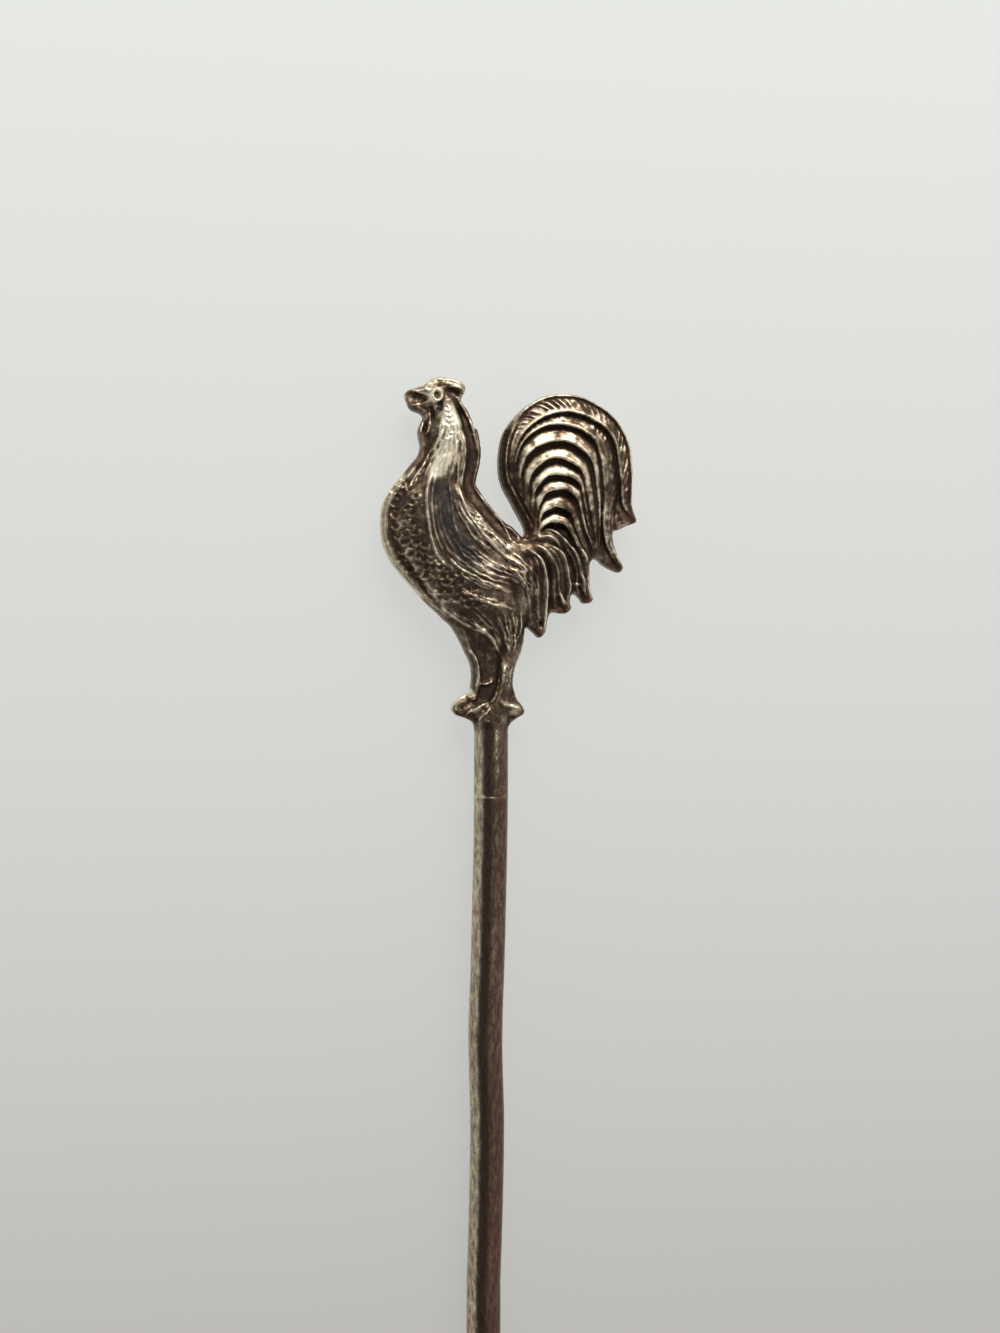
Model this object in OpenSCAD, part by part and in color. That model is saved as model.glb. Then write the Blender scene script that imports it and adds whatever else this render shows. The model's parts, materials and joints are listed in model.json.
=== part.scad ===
// Cocktail pick: a cast rooster soldered to a drawn wire. It lies on its back, head towards +Y.

/* [Rooster] */
// Height of the rooster above the underside of its foot mound
figure_h = 18.8; // [16:0.1:23]
// Width of the rooster from its breast to the longest tail feather
figure_w = 14.3; // [12:0.1:17.5]
// Thickness of the body at its fullest
body_t = 3.2; // [2.8:0.1:4]
// Thickness of the tail at its fullest
tail_t = 3.2; // [2.8:0.1:4]
// Thickness of the neck at its middle
neck_t = 2.5; // [2:0.1:3]
// Thickness of the border that runs along the outline
rim_t = 1.1; // [0.8:0.05:1.4]

/* [Feathers] */
// Step down from the crest of a sickle feather to the next one
feather_step = 0.3; // [0.15:0.01:0.4]
// Height of a strand above the body under it
strand_rise = 0.12; // [0.06:0.01:0.2]
// Number of strands in the hackle, and from the wing over the saddle
strand_count = 7; // [3:1:9]

/* [Head] */
// Thickness of the skull
head_t = 2; // [1.6:0.1:2.4]
// Thickness of the comb and the wattle
comb_t = 0.8; // [0.5:0.05:1.2]
// Diameter of the ring round the eye
eye_d = 0.76; // [0.6:0.02:0.9]
// Diameter of the pupil's recess
pupil_d = 0.34; // [0.2:0.02:0.44]

/* [Legs] */
// Width of the front leg
front_leg_w = 0.62; // [0.5:0.02:0.8]
// Width of the rear leg
rear_leg_w = 0.9; // [0.7:0.02:1.1]
// Thickness of the legs, front to back
leg_t = 1.7; // [1.4:0.05:2]
// Thickness of the web that closes the gap between the legs
web_t = 0.9; // [0.5:0.05:1.2]
// Depth of the foot mound, front to back
mound_t = 2.3; // [2:0.05:2.8]
// Width of a toe
toe_w = 0.5; // [0.4:0.02:0.6]

/* [Shank] */
// Diameter of the wire and of the stub it is soldered to
shank_d = 1.9; // [1.6:0.05:2.2]
// Length of the stub, from the foot mound's underside to the seam
stub_l = 4.3; // [3:0.1:8]
// Length of the wire, from the seam to its point
stem_l = 65; // [55:1:90]
// Length of the wire's upper stretch, which is bent a little
bent_l = 27; // [20:1:35]
// How far the bent stretch leads the wire to the side
bend = 0.38; // [0.1:0.02:0.6]
// Length of the drawn-out point
point_l = 12; // [6:0.5:16]
// Diameter of the very tip
tip_d = 0.3; // [0.2:0.05:0.5]

/* [Hidden] */

silver = "#a39a8b";
worn_silver = "#8d857a";

// Height and width over which the control points below are drawn
drawn_h = 18.83;
drawn_breast = -6.15;
drawn_tail = 8.13;
drawn_w = drawn_tail - drawn_breast;

rim_h = rim_t / 2;
neck_h = neck_t / 2;
web_h = web_t / 2;
body_h = body_t / 2 - strand_rise;
tail_h = tail_t / 2;
head_h = head_t / 2;
leg_h = leg_t / 2;
// The webs behind the feathers' tips keep a little inside the border
tip_web_t = 0.9 * rim_t;

// A drawn point at the figure's real width and height
function at(p) = [p[0] * figure_w / drawn_w, p[1] * figure_h / drawn_h];

// Point at share t of a smooth curve through the points p
function curve_at(p, t) =
    let (n = len(p) - 1,
         i = min(floor(t * n), n - 1),
         f = t * n - i,
         a = p[max(i - 1, 0)], b = p[i], c = p[i + 1], d = p[min(i + 2, n)])
    0.5 * (2 * b + (c - a) * f + (2 * a - 5 * b + 4 * c - d) * f * f
           + (3 * b - a - 3 * c + d) * f * f * f);

// The same curve as a list of points
function curve(p, steps) = [for (i = [0:steps]) curve_at(p, i / steps)];

function mix(a, b, t) = a + (b - a) * t;

// Closed solid through rings that have the same number of points each
module skin(rings, flip = false) {
    n = len(rings[0]);
    last = (len(rings) - 1) * n;
    sides = [for (i = [0:len(rings) - 2], j = [0:n - 1])
        let (a = i * n + j, b = i * n + (j + 1) % n)
        each [[a, b, b + n], [a, b + n, a + n]]];
    caps = [[for (j = [n - 1:-1:0]) j], [for (j = [0:n - 1]) last + j]];
    faces = concat(sides, caps);
    turned = [for (f = faces) [for (k = [len(f) - 1:-1:0]) f[k]]];
    polyhedron([for (r = rings) each r], flip ? turned : faces, convexity = 6);
}

// Ring over a front profile of [x, y, height], the same on both faces
function both_faces(front) =
    concat(front, [for (i = [len(front) - 1:-1:0]) [front[i][0], front[i][1], -front[i][2]]]);

// Blade between two edges. A row is [edge x, y, other edge x, y, height]. A section point is
// [share of the way across, height share], where 0 is a step below the row's height and 1 is that height
module blade(rows, section, step, steps, flip = true) {
    skin([for (r = curve(rows, steps))
        both_faces([for (s = section)
            [each at(mix([r[0], r[1]], [r[2], r[3]], s[0])), r[4] - step * (1 - s[1])]])],
        flip);
}

// Chain of balls [x, y, diameter, thickness] blended one into the next
module limb(balls) {
    for (i = [0:len(balls) - 2])
        hull()
            for (b = [balls[i], balls[i + 1]])
                translate(concat(at(b), 0))
                    scale([b[2], b[2], b[3]])
                        sphere(d = 1, $fn = 9);
}

// Body: rows run from the head down to the thighs, as [breast x, y, back x, y, height]
body_rows = [
    [-3.4, 17.3, -1.75, 17.75, 0.86 * neck_h],
    [-3.55, 16.4, -1.2, 16.6, 0.95 * neck_h],
    [-3.75, 15.6, -0.74, 15.5, neck_h],
    [-4, 14.9, -0.63, 14.5, neck_h],
    [-4.5, 14, -0.78, 13.6, mix(neck_h, body_h, 0.3)],
    [-5.35, 12.95, -0.87, 12.8, mix(neck_h, body_h, 0.6)],
    [-5.95, 12, -0.3, 12, mix(neck_h, body_h, 0.85)],
    [-6.15, 11, 0.6, 10.95, body_h],
    [-6.1, 10, 1.5, 10.1, body_h],
    [-5.75, 8.95, 2, 9, body_h],
    [-5.1, 8, 2.3, 8, 0.98 * body_h],
    [-4.2, 7, 2.4, 7.1, 0.94 * body_h],
    [-3.1, 5.9, 2.2, 6.3, 0.88 * body_h],
    [-2.3, 5.15, 1.8, 5.5, 0.78 * body_h],
    [-1.8, 4.3, 1.75, 4.5, 0.66 * body_h]];
body_steps = 28;

// Where the strands lie across the body: [row, share across] of the first and of the last strand,
// and [row, share of their full height]. The hackle ends at row 5, where the wing begins
first_strand = [[0, 0.3], [2.4, 0.27], [4, 0.22], [5, 0.14], [5.6, 0.36], [7.5, 0.33], [9.6, 0.42],
    [10.8, 0.6], [11.8, 0.84], [14, 0.9]];
last_strand = [[0, 0.68], [2.4, 0.68], [4, 0.72], [5, 0.78], [5.6, 0.72], [6.5, 0.7], [8, 0.71],
    [9, 0.82], [9.7, 0.9], [14, 0.94]];
strand_fade = [[0, 0.3], [1, 1], [4.6, 1], [5.2, 0], [5.6, 0.3], [6.2, 1], [11, 1], [12.5, 0.2], [14, 0]];

function dome(t) = pow(sin(180 * t), 0.65);

// Front profile of the body at row s: border, channel, breast, strands, channel, border
function body_profile(s) =
    let (r = curve_at(body_rows, s / (len(body_rows) - 1)),
         first = lookup(s, first_strand),
         last = lookup(s, last_strand),
         spacing = (last - first) / strand_count,
         rise = strand_rise * lookup(s, strand_fade),
         strands = [for (i = [0:strand_count - 1])
             let (t = first + i * spacing)
             each [[t, dome(t), 0],
                 [t + 0.45 * spacing, dome(t + 0.45 * spacing), rise * (i == 0 ? 1.25 : 1)]]],
         across = concat(
             [[0, 0, 0], [0.03, 0.14, 0], [0.08, 0.1, 0],
              [mix(0.08, first, 0.3), dome(mix(0.08, first, 0.4)), 0],
              [mix(0.08, first, 0.75), dome(mix(0.08, first, 0.75)), 0]],
             strands,
             [[last, dome(last), 0], [mix(last, 1, 0.45), 0.16, 0], [mix(last, 1, 0.8), 0.2, 0], [1, 0, 0]]))
    [for (p = across)
        [each at(mix([r[0], r[1]], [r[2], r[3]], p[0])), mix(rim_h, r[4], p[1]) + p[2]]];

module body() {
    last_row = len(body_rows) - 1;
    skin([for (i = [0:body_steps]) both_faces(body_profile(i * last_row / body_steps))]);
}

// Arches of the tail from the outline inwards, as [centre x, y, half width, height]
arches = [[4.1, 14.2, 3.74, 3.83], [4.1, 14, 2.95, 2.87], [3.6, 13.9, 2.4, 2.3], [3.55, 13.3, 2.05, 1.95],
    [3.5, 12.75, 1.55, 1.55], [3.6, 12.1, 1.4, 1.3], [3.6, 11.4, 1.15, 1.2], [3.45, 10.7, 0.95, 0.9],
    [3.4, 10, 0.8, 0.75], [3.3, 9.3, 0.65, 0.8]];

// Where each arch's curve leaves it and falls to the feather's tip
falls = [[[7.88, 12.8], [7.86, 12], [8.13, 11.05]],
    [[7.05, 13], [7.25, 11.8], [7.95, 11.05]],
    [[6.03, 12.4], [6.15, 10], [7.08, 8.27]],
    [[5.72, 12.4], [5.85, 11], [5.9, 9.4]],
    [[5.15, 12], [5.4, 10.9], [5.8, 9.35]],
    [[5, 11.6], [5.15, 10.7], [5.7, 9.35]],
    [[4.85, 11], [5.1, 10.2], [5.6, 9.3]],
    [[4.55, 10.2], [5.03, 9.35], [5.33, 8.66]],
    [[4.5, 9.7], [4.9, 8.9], [5.2, 7.8]],
    [[4.15, 8.9], [4.5, 8.2], [4.7, 7.5]]];
// The second feather's outer edge leaves the first one's and falls to its own tip
second_fall = [[7, 12.8], [6.8, 10.4], [7.35, 8.4]];
// The fan of inner feathers starts beside the second feather's fall
fan_fall = [[6.03, 12.4], [6, 11], [6.05, 9.5]];

// Height of each curve's crest, from the outline to the middle of the tail
crest_h = [for (share = [0.6, 0.62, 0.76, 0.85, 0.92, 0.97, 1, 1, 0.97, 0.94]) share * tail_h];

// Height along a feather: low at the root, full over the arch, thin at the tip
swell = [0.75, 0.9, 1, 1, 1, 1, 1, 1, 1, 0.95, 0.82, 0.55];

// Curve k from its root on the left, over its arch, to its tip on the right
function tail_curve(k, fall, root = 10.4) =
    let (a = arches[k])
    concat([[1.85 + 0.06 * k, root]],
        [for (w = [195:-28:-1]) [a[0] + a[2] * cos(w), a[1] + a[3] * sin(w)]],
        fall);

function sickle_rows(outer, inner, height) =
    [for (i = [0:len(outer) - 1]) concat(outer[i], inner[i], height * swell[i])];

rim_section = [[0, 0], [0.1, 0.1], [0.17, -0.55], [0.3, -0.2], [0.82, 1], [1, -0.3], [1.04, -1.2]];
sickle_section = [[-0.05, -0.9], [0.05, -0.2], [0.45, 0.5], [0.82, 1], [1, -0.4], [1.04, -1.3]];
first_steps = 20;
fan_steps = 16;
covert_steps = 6;
// The second feather and the fan grow out of the body a little lower each
second_root = 10.22;
fan_root = 10.03;
// How much lower each inner feather of the fan starts than the one outside it
fan_slant = 0.235;

// Inner feathers: across the fan each feather rises to its crest and drops to the next
module fan() {
    first = 2;
    count = len(arches) - 1 - first;
    curves = [for (k = [first:len(arches) - 1])
        curve(tail_curve(k, k == first ? fan_fall : falls[k], fan_root - fan_slant * (k - first)), fan_steps)];
    heights = curve(swell, fan_steps);
    skin([for (i = [0:fan_steps])
        both_faces(concat(
            [[each at(curves[0][i]), crest_h[first] * heights[i] - 1.8 * feather_step]],
            [for (k = [0:count - 1])
                let (outer = curves[k][i], inner = curves[k + 1][i], h = crest_h[first + k + 1] * heights[i])
                each [[each at(mix(outer, inner, 0.04)), h - 1.2 * feather_step],
                    [each at(mix(outer, inner, 0.5)), h - 0.4 * feather_step],
                    [each at(mix(outer, inner, 0.86)), h]]],
            [[each at(curves[count][i]), crest_h[first + count] * heights[i] - 1.5 * feather_step]]))],
        true);
}

// Covert feathers under the tail: rows go from the saddle down to each tip
coverts = [
    [[4.3, 9.9, 3.35, 9.65, 0.6 * tail_h], [5, 9.3, 3.9, 9.1, 0.87 * tail_h],
     [5.43, 8.43, 4.3, 8.2, 0.72 * tail_h], [5.46, 7.5, 4.4, 7.3, 0.58 * tail_h],
     [5.55, 6.95, 4.7, 6.85, 0.45 * tail_h], [5.62, 6.55, 5.15, 6.42, 0.3 * tail_h]],
    [[2.9, 9.75, 2.1, 9.55, 0.6 * tail_h], [3.7, 9.3, 2.75, 8.9, 0.94 * tail_h],
     [4.15, 8.5, 3, 7.9, 0.85 * tail_h], [4.35, 7.5, 3.03, 6.95, 0.7 * tail_h],
     [4.36, 6.7, 3.2, 6, 0.5 * tail_h], [4.42, 6.15, 3.9, 5.84, 0.3 * tail_h]],
    [[2.1, 9.4, 1.5, 9.15, 0.55 * tail_h], [2.75, 8.8, 1.8, 8.4, 0.92 * tail_h],
     [3, 7.9, 1.7, 7.5, 0.85 * tail_h], [3.08, 6.9, 1.6, 6.5, 0.7 * tail_h],
     [3.05, 5.4, 1.8, 5.4, 0.5 * tail_h], [2.8, 4.5, 2.6, 4.48, 0.3 * tail_h]]];
covert_section = [[0, -0.6], [0.1, 1], [0.28, 0], [0.4, 0.7], [0.6, -0.2], [0.72, 0.5], [1, -0.8]];

// Core of the tail, and the webs seen as plain facets behind the feathers' tips
core = [[1.9, 10.3], [0.9, 14], [1.8, 16.4], [4.1, 17.5], [6.5, 16.3], [7.4, 14], [7.3, 12], [6.5, 10.6],
    [6.5, 9.2], [5.5, 9], [5.2, 7.6], [3, 7.6], [1.6, 8.6]];
webs = [
    [[7, 12.6], [8.05, 11.1], [8.02, 10.9], [7.3, 10.6], [6.8, 10.42], [6.5, 11]],
    [[1.55, 10.25], [2.05, 10.47], [6, 11], [6.6, 9.4], [7.2, 8.15], [6.8, 8.3], [6.2, 8.6], [5.8, 8.88],
     [5.5, 8.75], [5.3, 7.7], [4.4, 7], [3.2, 6.2], [1.48, 6.05], [1.2, 9]]];

module tail() {
    first = tail_curve(0, falls[0]);
    second = tail_curve(1, falls[1]);
    blade(sickle_rows(first, second, crest_h[1]), rim_section, feather_step, first_steps);
    blade(sickle_rows(tail_curve(1, second_fall, second_root), tail_curve(2, falls[2], second_root), crest_h[2]),
        sickle_section, feather_step, first_steps);
    fan();
    for (rows = coverts)
        blade(rows, covert_section, 0.6 * feather_step, covert_steps);
    // Where the saddle swells into the tail
    limb([[1.7, 9.15, 1.5, 0.72 * tail_t], [2.85, 9.33, 1.5, 0.82 * tail_t]]);
    linear_extrude(web_t / 2, center = true)
        polygon([for (p = core) at(p)]);
    for (outline = webs)
        linear_extrude(tip_web_t, center = true)
            polygon([for (p = outline) at(p)]);
}

// Outline of the head: beak, open mouth, comb, nape and wattle
head_outline = [[-4.88, 17.87], [-4.5, 18.12], [-4, 18.28], [-3.5, 18.6], [-3, 18.8], [-2.1, 18.7],
    [-1.55, 18.42], [-1.5, 18.1], [-1.75, 17.6], [-2, 17], [-3, 16], [-3.85, 15.3], [-4.08, 15.7],
    [-4.05, 16.1], [-3.82, 16.6], [-4.1, 16.9], [-4.55, 17.1], [-4.74, 17.5], [-4.1, 17.6], [-4.2, 17.85]];

module head() {
    linear_extrude(0.5 * comb_t, center = true)
        polygon([for (p = curve(head_outline, 2 * len(head_outline))) at(p)]);
    // Skull, upper and lower beak, comb, wattle
    limb([[-3.05, 17.65, 1.5, head_t], [-2.45, 17.5, 1.35, head_t]]);
    limb([[-3.3, 17.9, 1.1, 0.9 * head_t], [-4, 18.03, 0.5, 0.7 * head_t], [-4.76, 17.92, 0.2, 0.3 * head_t]]);
    limb([[-3.43, 17.32, 0.88, 0.8 * head_t], [-4.1, 17.15, 0.45, 0.55 * head_t],
        [-4.55, 17.28, 0.2, 0.3 * head_t]]);
    limb([[-3.4, 18.3, 0.5, comb_t], [-2.95, 18.52, 0.55, comb_t], [-2.13, 18.4, 0.57, comb_t],
        [-1.72, 18.21, 0.37, comb_t]]);
    limb([[-3.72, 16.5, 0.3, comb_t], [-3.78, 16, 0.6, comb_t], [-3.78, 15.55, 0.4, comb_t]]);
    for (side = [-1, 1])
        translate(concat(at([-3.1, 17.75]), side * head_h * 0.92))
            difference() {
                cylinder(d = eye_d, h = 0.5 * eye_d, center = true, $fn = 20);
                cylinder(d = pupil_d, h = eye_d, center = true, $fn = 14);
            }
}

// Legs: rows run from the thighs down to the feet, between the outer edges of the two legs
leg_rows = [[-2.2, 5, 1.85, 5.2, leg_h], [-1.7, 4.15, 1.74, 4.15, leg_h], [-1.25, 3.2, 1.42, 3.2, leg_h],
    [-1.1, 2.3, 1.18, 2.3, 0.9 * leg_h], [-1.15, 1.7, 1.2, 1.7, 0.9 * leg_h], [-1.35, 0.9, 1.4, 0.9, leg_h]];

leg_steps = 9;

module legs() {
    // The share of the way across that each leg takes is reckoned at the narrowest row
    w = at([leg_rows[3][2] - leg_rows[3][0], 0])[0];
    front = front_leg_w / w;
    rear = 1 - rear_leg_w / w;
    section = [[0, 0.55], [0.35 * front, 1], [0.8 * front, 0.75], [front, 0], [rear, 0],
        [mix(rear, 1, 0.2), 0.8], [mix(rear, 1, 0.55), 1], [1, 0.5]];
    blade(leg_rows, section, leg_h - web_h, leg_steps, false);
}

module mound() {
    // Earth under the feet, with a lobe on each side
    hull()
        for (lobe = [[-1.55, 0.65, 1.35, 1.15, 1.3, 12], [-0.3, 0.55, 1.6, 1.3, mound_t, 16],
            [1.25, 0.5, 1.15, 0.95, 1.2, 12]])
            translate(concat(at([lobe[0], lobe[1]]), 0))
                scale([lobe[2], lobe[3], lobe[4]])
                    sphere(d = 1, $fn = lobe[5]);
    // Toes
    for (side = [-1, 1], toe = [[0.1, 0.95, -1.46, 0.42], [0.5, 0.9, -0.6, 0.1], [0.7, 0.9, 1.3, 0.5]])
        hull() {
            translate(concat(at([toe[0], toe[1]]), side * 0.3 * mound_t))
                sphere(d = toe_w, $fn = 8);
            translate(concat(at([toe[2], toe[3]]), side * 0.33 * mound_t))
                sphere(d = 0.7 * toe_w, $fn = 8);
        }
}

// Round stub under the mound, flared where it grows out of it
module stub() {
    r = shank_d / 2;
    flare = 0.35;
    flare_l = 0.5;
    root = 0.6;
    rotate([90, 0, 0])
        rotate_extrude($fn = 32)
            polygon([[0, -root], [r + flare, -0.5 * root], [r + 0.4 * flare, 0.1 * flare_l],
                [r, flare_l], [r, stub_l], [0, stub_l]]);
}

module rooster() {
    color(silver)
        placed() {
            body();
            tail();
            head();
            legs();
            mound();
            stub();
        }
}

// Centre line of the bent stretch, as [share of bend, share of bent_l]
bend_line = [[0, 0], [0.1, 0.12], [0.45, 0.34], [0.78, 0.5], [0.5, 0.67], [0.66, 0.84], [1, 1]];

// Drawn wire: a bent stretch, a straight one and the point
module stem() {
    bend_steps = 12;
    sides = 32;
    fine = 64;
    // The bent stretch's flats keep just inside the round wire that they run into
    r = 0.998 * shank_d / 2;
    line = curve(bend_line, bend_steps);
    straight_l = stem_l - bent_l - point_l;
    color(worn_silver)
        placed()
            translate([0, -stub_l, 0]) {
                skin([for (p = line)
                    [for (j = [0:sides - 1])
                        [r * cos(j * 360 / sides) - bend * p[0], -bent_l * p[1], r * sin(j * 360 / sides)]]],
                    true);
                translate([-bend, -bent_l, 0])
                    rotate([90, 0, 0]) {
                        cylinder(d = shank_d, h = straight_l, $fn = fine);
                        translate([0, 0, straight_l])
                            cylinder(d1 = shank_d, d2 = tip_d, h = point_l, $fn = fine);
                    }
            }
}

// Rest: the back of the rooster and the far end of the straight wire touch the table
drawn_back = 9.6;
rest_span = at([0, drawn_back])[1] + stub_l + stem_l - point_l;
pitch = atan2(body_t / 2 - shank_d / 2, rest_span);
roll = atan2((tail_t - body_t) / 2, at([5.5, 0])[0]);
origin_x = figure_w * (drawn_tail + drawn_breast) / 2 / drawn_w;
origin_y = (figure_h - stub_l - stem_l) / 2;
rest_h = shank_d / 2 + (origin_y + stub_l + stem_l - point_l) * tan(pitch);

// From the drawing's place to the place at rest, with the origin under the middle
module placed() {
    translate([0, 0, rest_h])
        rotate([pitch, roll, 0])
            translate([-origin_x, -origin_y, 0])
                children();
}

rooster();
stem();
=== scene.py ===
# %% [markdown]
# # A silver cocktail pick with a rooster on its head
#
# The pick is a cast rooster, flat like a medal and worked on both faces, soldered to a drawn wire. Its
# silver has gone dark brown in the hollows and is rubbed bright on every crest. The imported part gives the
# places and the sizes. This lesson dresses it with the feathers, the patina and the light.

# %% The frame
import json
from math import asin, cos, degrees, pi, radians, sin, tan

import bmesh
import bpy
import numpy as np
from mathutils import Matrix, Vector


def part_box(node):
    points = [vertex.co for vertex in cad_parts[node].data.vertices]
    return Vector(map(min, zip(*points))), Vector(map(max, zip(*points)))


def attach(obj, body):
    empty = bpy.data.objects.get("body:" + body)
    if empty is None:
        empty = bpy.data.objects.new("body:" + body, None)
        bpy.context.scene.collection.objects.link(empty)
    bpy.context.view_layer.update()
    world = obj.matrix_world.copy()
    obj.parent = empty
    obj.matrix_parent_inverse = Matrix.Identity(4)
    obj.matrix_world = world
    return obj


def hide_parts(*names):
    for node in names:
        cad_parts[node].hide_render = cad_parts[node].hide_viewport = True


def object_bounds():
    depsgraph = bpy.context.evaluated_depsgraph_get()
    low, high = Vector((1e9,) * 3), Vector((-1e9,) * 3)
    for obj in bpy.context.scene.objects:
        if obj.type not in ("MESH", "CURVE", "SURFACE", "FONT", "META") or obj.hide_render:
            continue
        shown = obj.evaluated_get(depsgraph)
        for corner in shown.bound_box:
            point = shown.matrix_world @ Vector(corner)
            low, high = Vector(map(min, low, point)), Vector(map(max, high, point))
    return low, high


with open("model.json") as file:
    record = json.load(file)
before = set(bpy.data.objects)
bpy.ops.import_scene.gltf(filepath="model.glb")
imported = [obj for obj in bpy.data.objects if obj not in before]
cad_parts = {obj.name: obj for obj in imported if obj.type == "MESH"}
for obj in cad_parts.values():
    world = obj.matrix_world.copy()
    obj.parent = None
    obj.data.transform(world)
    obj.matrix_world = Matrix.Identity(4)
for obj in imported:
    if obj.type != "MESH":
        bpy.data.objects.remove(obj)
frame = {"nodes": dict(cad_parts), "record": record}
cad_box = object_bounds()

print("nodes:", sorted(frame["nodes"]), "box:", [tuple(round(c, 5) for c in p) for p in cad_box])

# %% [markdown]
# ## Where the pick lies
#
# It lies on its back, so its middle plane is tilted by half a degree. The stated shank gives that tilt.
# All pieces are modelled flat in millimetres, with the foot's middle at zero and the head towards +Y, and
# one matrix then lays them down in metres. That keeps the numbers readable.

# %% The resting place
MM = 0.001
figure_w, figure_h = 14.3, 18.8
drawn_breast, drawn_tail, drawn_h = -6.15, 8.13, 18.83
stub_l, wire_r, bend = 4.3, 0.95, 0.38

shank = frame["record"]["mounts"][0]
tilt = -asin(shank["axis"][2])
lift = shank["pos_m"][2] - shank["pos_m"][1] * tan(tilt)
foot_x = -figure_w * MM * (drawn_tail + drawn_breast) / 2 / (drawn_tail - drawn_breast)
foot_y = -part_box("stem")[0].y - figure_h * MM
rest = (Matrix.Translation((0, 0, lift)) @ Matrix.Rotation(tilt, 4,
    "X") @ Matrix.Translation((foot_x, foot_y, 0)) @ Matrix.Scale(MM, 4))
figure_scale = Matrix.Diagonal((figure_w / (drawn_tail - drawn_breast), figure_h / drawn_h, 1, 1))
print("tilt in degrees:", round(degrees(tilt), 3), "foot at", round(foot_x, 5), round(foot_y, 5))


# %% [markdown]
# ## The relief as a height map
#
# A low relief is a height over each place of a flat drawing. Sculpting it by hand can't be repeated, and a
# mesh per feather leaves hundreds of loose shells. So the heights are first drawn on a fine square map:
# sheets lay down the big forms, and strokes raise strands or sink grooves. Later a flat blank takes the
# heights, on both faces. Two more maps grow along with it for the colour: the shade of the sheet on top,
# which is partly patina and partly painted light (painted highlights on the tail's crests and arch tops,
# painted shadow under each crest), and the thin lines that fingers rub bright.

# %% The map
CELL = 0.03
U0, V0 = -6.6, -1.2
us, vs = np.arange(U0, 8.6, CELL), np.arange(V0, 19.3, CELL)
U, V = np.meshgrid(us, vs)
web_h, tip_h = 0.42, 0.62
relief = np.where(U > 1.9, tip_h, web_h)
rubbed, oxide_and_painted_light_map = np.zeros(U.shape), np.zeros(U.shape)
line_half = 0.055
print("map:", U.shape, "cells of", CELL, "mm")

# %% Curves, tables and soft steps
def spline(points, steps):
    """A smooth curve through the points, which may have any number of columns"""
    p = np.array(points, float)
    n = len(p) - 1
    t = np.linspace(0, n, steps + 1)
    i = np.minimum(t.astype(int), n - 1)
    f = (t - i)[:, None]
    a, b, c, d = p[np.maximum(i - 1, 0)], p[i], p[i + 1], p[np.minimum(i + 2, n)]
    square = 2 * a - 5 * b + 4 * c - d
    cube = 3 * b - a - 3 * c + d
    return 0.5 * (2 * b + (c - a) * f + square * f ** 2 + cube * f ** 3)


def table(x, pairs):
    """Straight lines through [x, value] pairs"""
    xs, ys = zip(*pairs)
    return np.interp(x, xs, ys)


def ease(x, low, high):
    """0 below low, 1 above high, and a soft step between"""
    t = np.clip((x - low) / (high - low), 0, 1)
    return t * t * (3 - 2 * t)


def ebb(x, low, high):
    """The same step downwards"""
    return 1 - ease(x, low, high)


def hill(x):
    """1 at zero, falling to 0 at one and beyond"""
    return np.clip(1 - x ** 2, 0, 1)


print("halfway up a soft step:", ease(0.5, 0, 1))

# %% Tools that draw on the map
def window(low, high):
    """The part of the map between two corners"""
    c = np.clip([(low[0] - U0) / CELL, (high[0] - U0) / CELL + 2], 0, len(us)).astype(int)
    r = np.clip([(low[1] - V0) / CELL, (high[1] - V0) / CELL + 2], 0, len(vs)).astype(int)
    return slice(*r), slice(*c)


def lay(u, v, h, shade):
    """Lays a sheet of close points: each cell keeps the highest that falls in it, with its shade"""
    col = np.rint((u - U0) / CELL).astype(int).ravel()
    row = np.rint((v - V0) / CELL).astype(int).ravel()
    np.maximum.at(relief, (row, col), h.ravel())
    top = h.ravel() >= relief[row, col]
    oxide_and_painted_light_map[row[top], col[top]] = np.broadcast_to(shade, h.shape).ravel()[top]


def cross(rows, share):
    """Points on rows [u left, v left, u right, v right], at their share of the way across"""
    left, right = rows[:, :2, None], rows[:, 2:4, None]
    return np.moveaxis(left + (right - left) * share, 1, 0)


def trail(points, reach):
    """Cells near a curve: their window, distance to it and share of the way along it"""
    p = np.asarray(points, float)
    at = window(p.min(0) - reach, p.max(0) + reach)
    u, v = U[at], V[at]
    gap, share = np.full(u.shape, 9.0), np.zeros(u.shape)
    for i, (a, b) in enumerate(zip(p[:-1], p[1:])):
        d = b - a
        t = np.clip(((u - a[0]) * d[0] + (v - a[1]) * d[1]) / max(d @ d, 1e-12), 0, 1)
        g = np.hypot(u - a[0] - t * d[0], v - a[1] - t * d[1])
        near = g < gap
        gap[near], share[near] = g[near], (i + t[near]) / (len(p) - 1)
    return at, gap, share


def stroke(points, wide=0.15, rise=0.1, fade=0.2, steps=14):
    """A rounded ridge along a curve, or a groove where rise is negative; its ends fade away"""
    at, gap, share = trail(spline(points, steps), wide)
    tall = np.clip(np.minimum(share, 1 - share) / fade, 0, 1)
    tall = tall * (1 + 0.3 * np.sin(29 * share + 7 * points[0][0]) * np.sin(11 * share + 5 * points[0][1]))
    relief[at] += rise * tall * hill(gap / wide) ** 1.5
    line = hill(gap / line_half) * np.clip(tall, 0, 1) * min(rise / 0.1, 1)
    rubbed[at] = np.maximum(rubbed[at], line)


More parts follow.
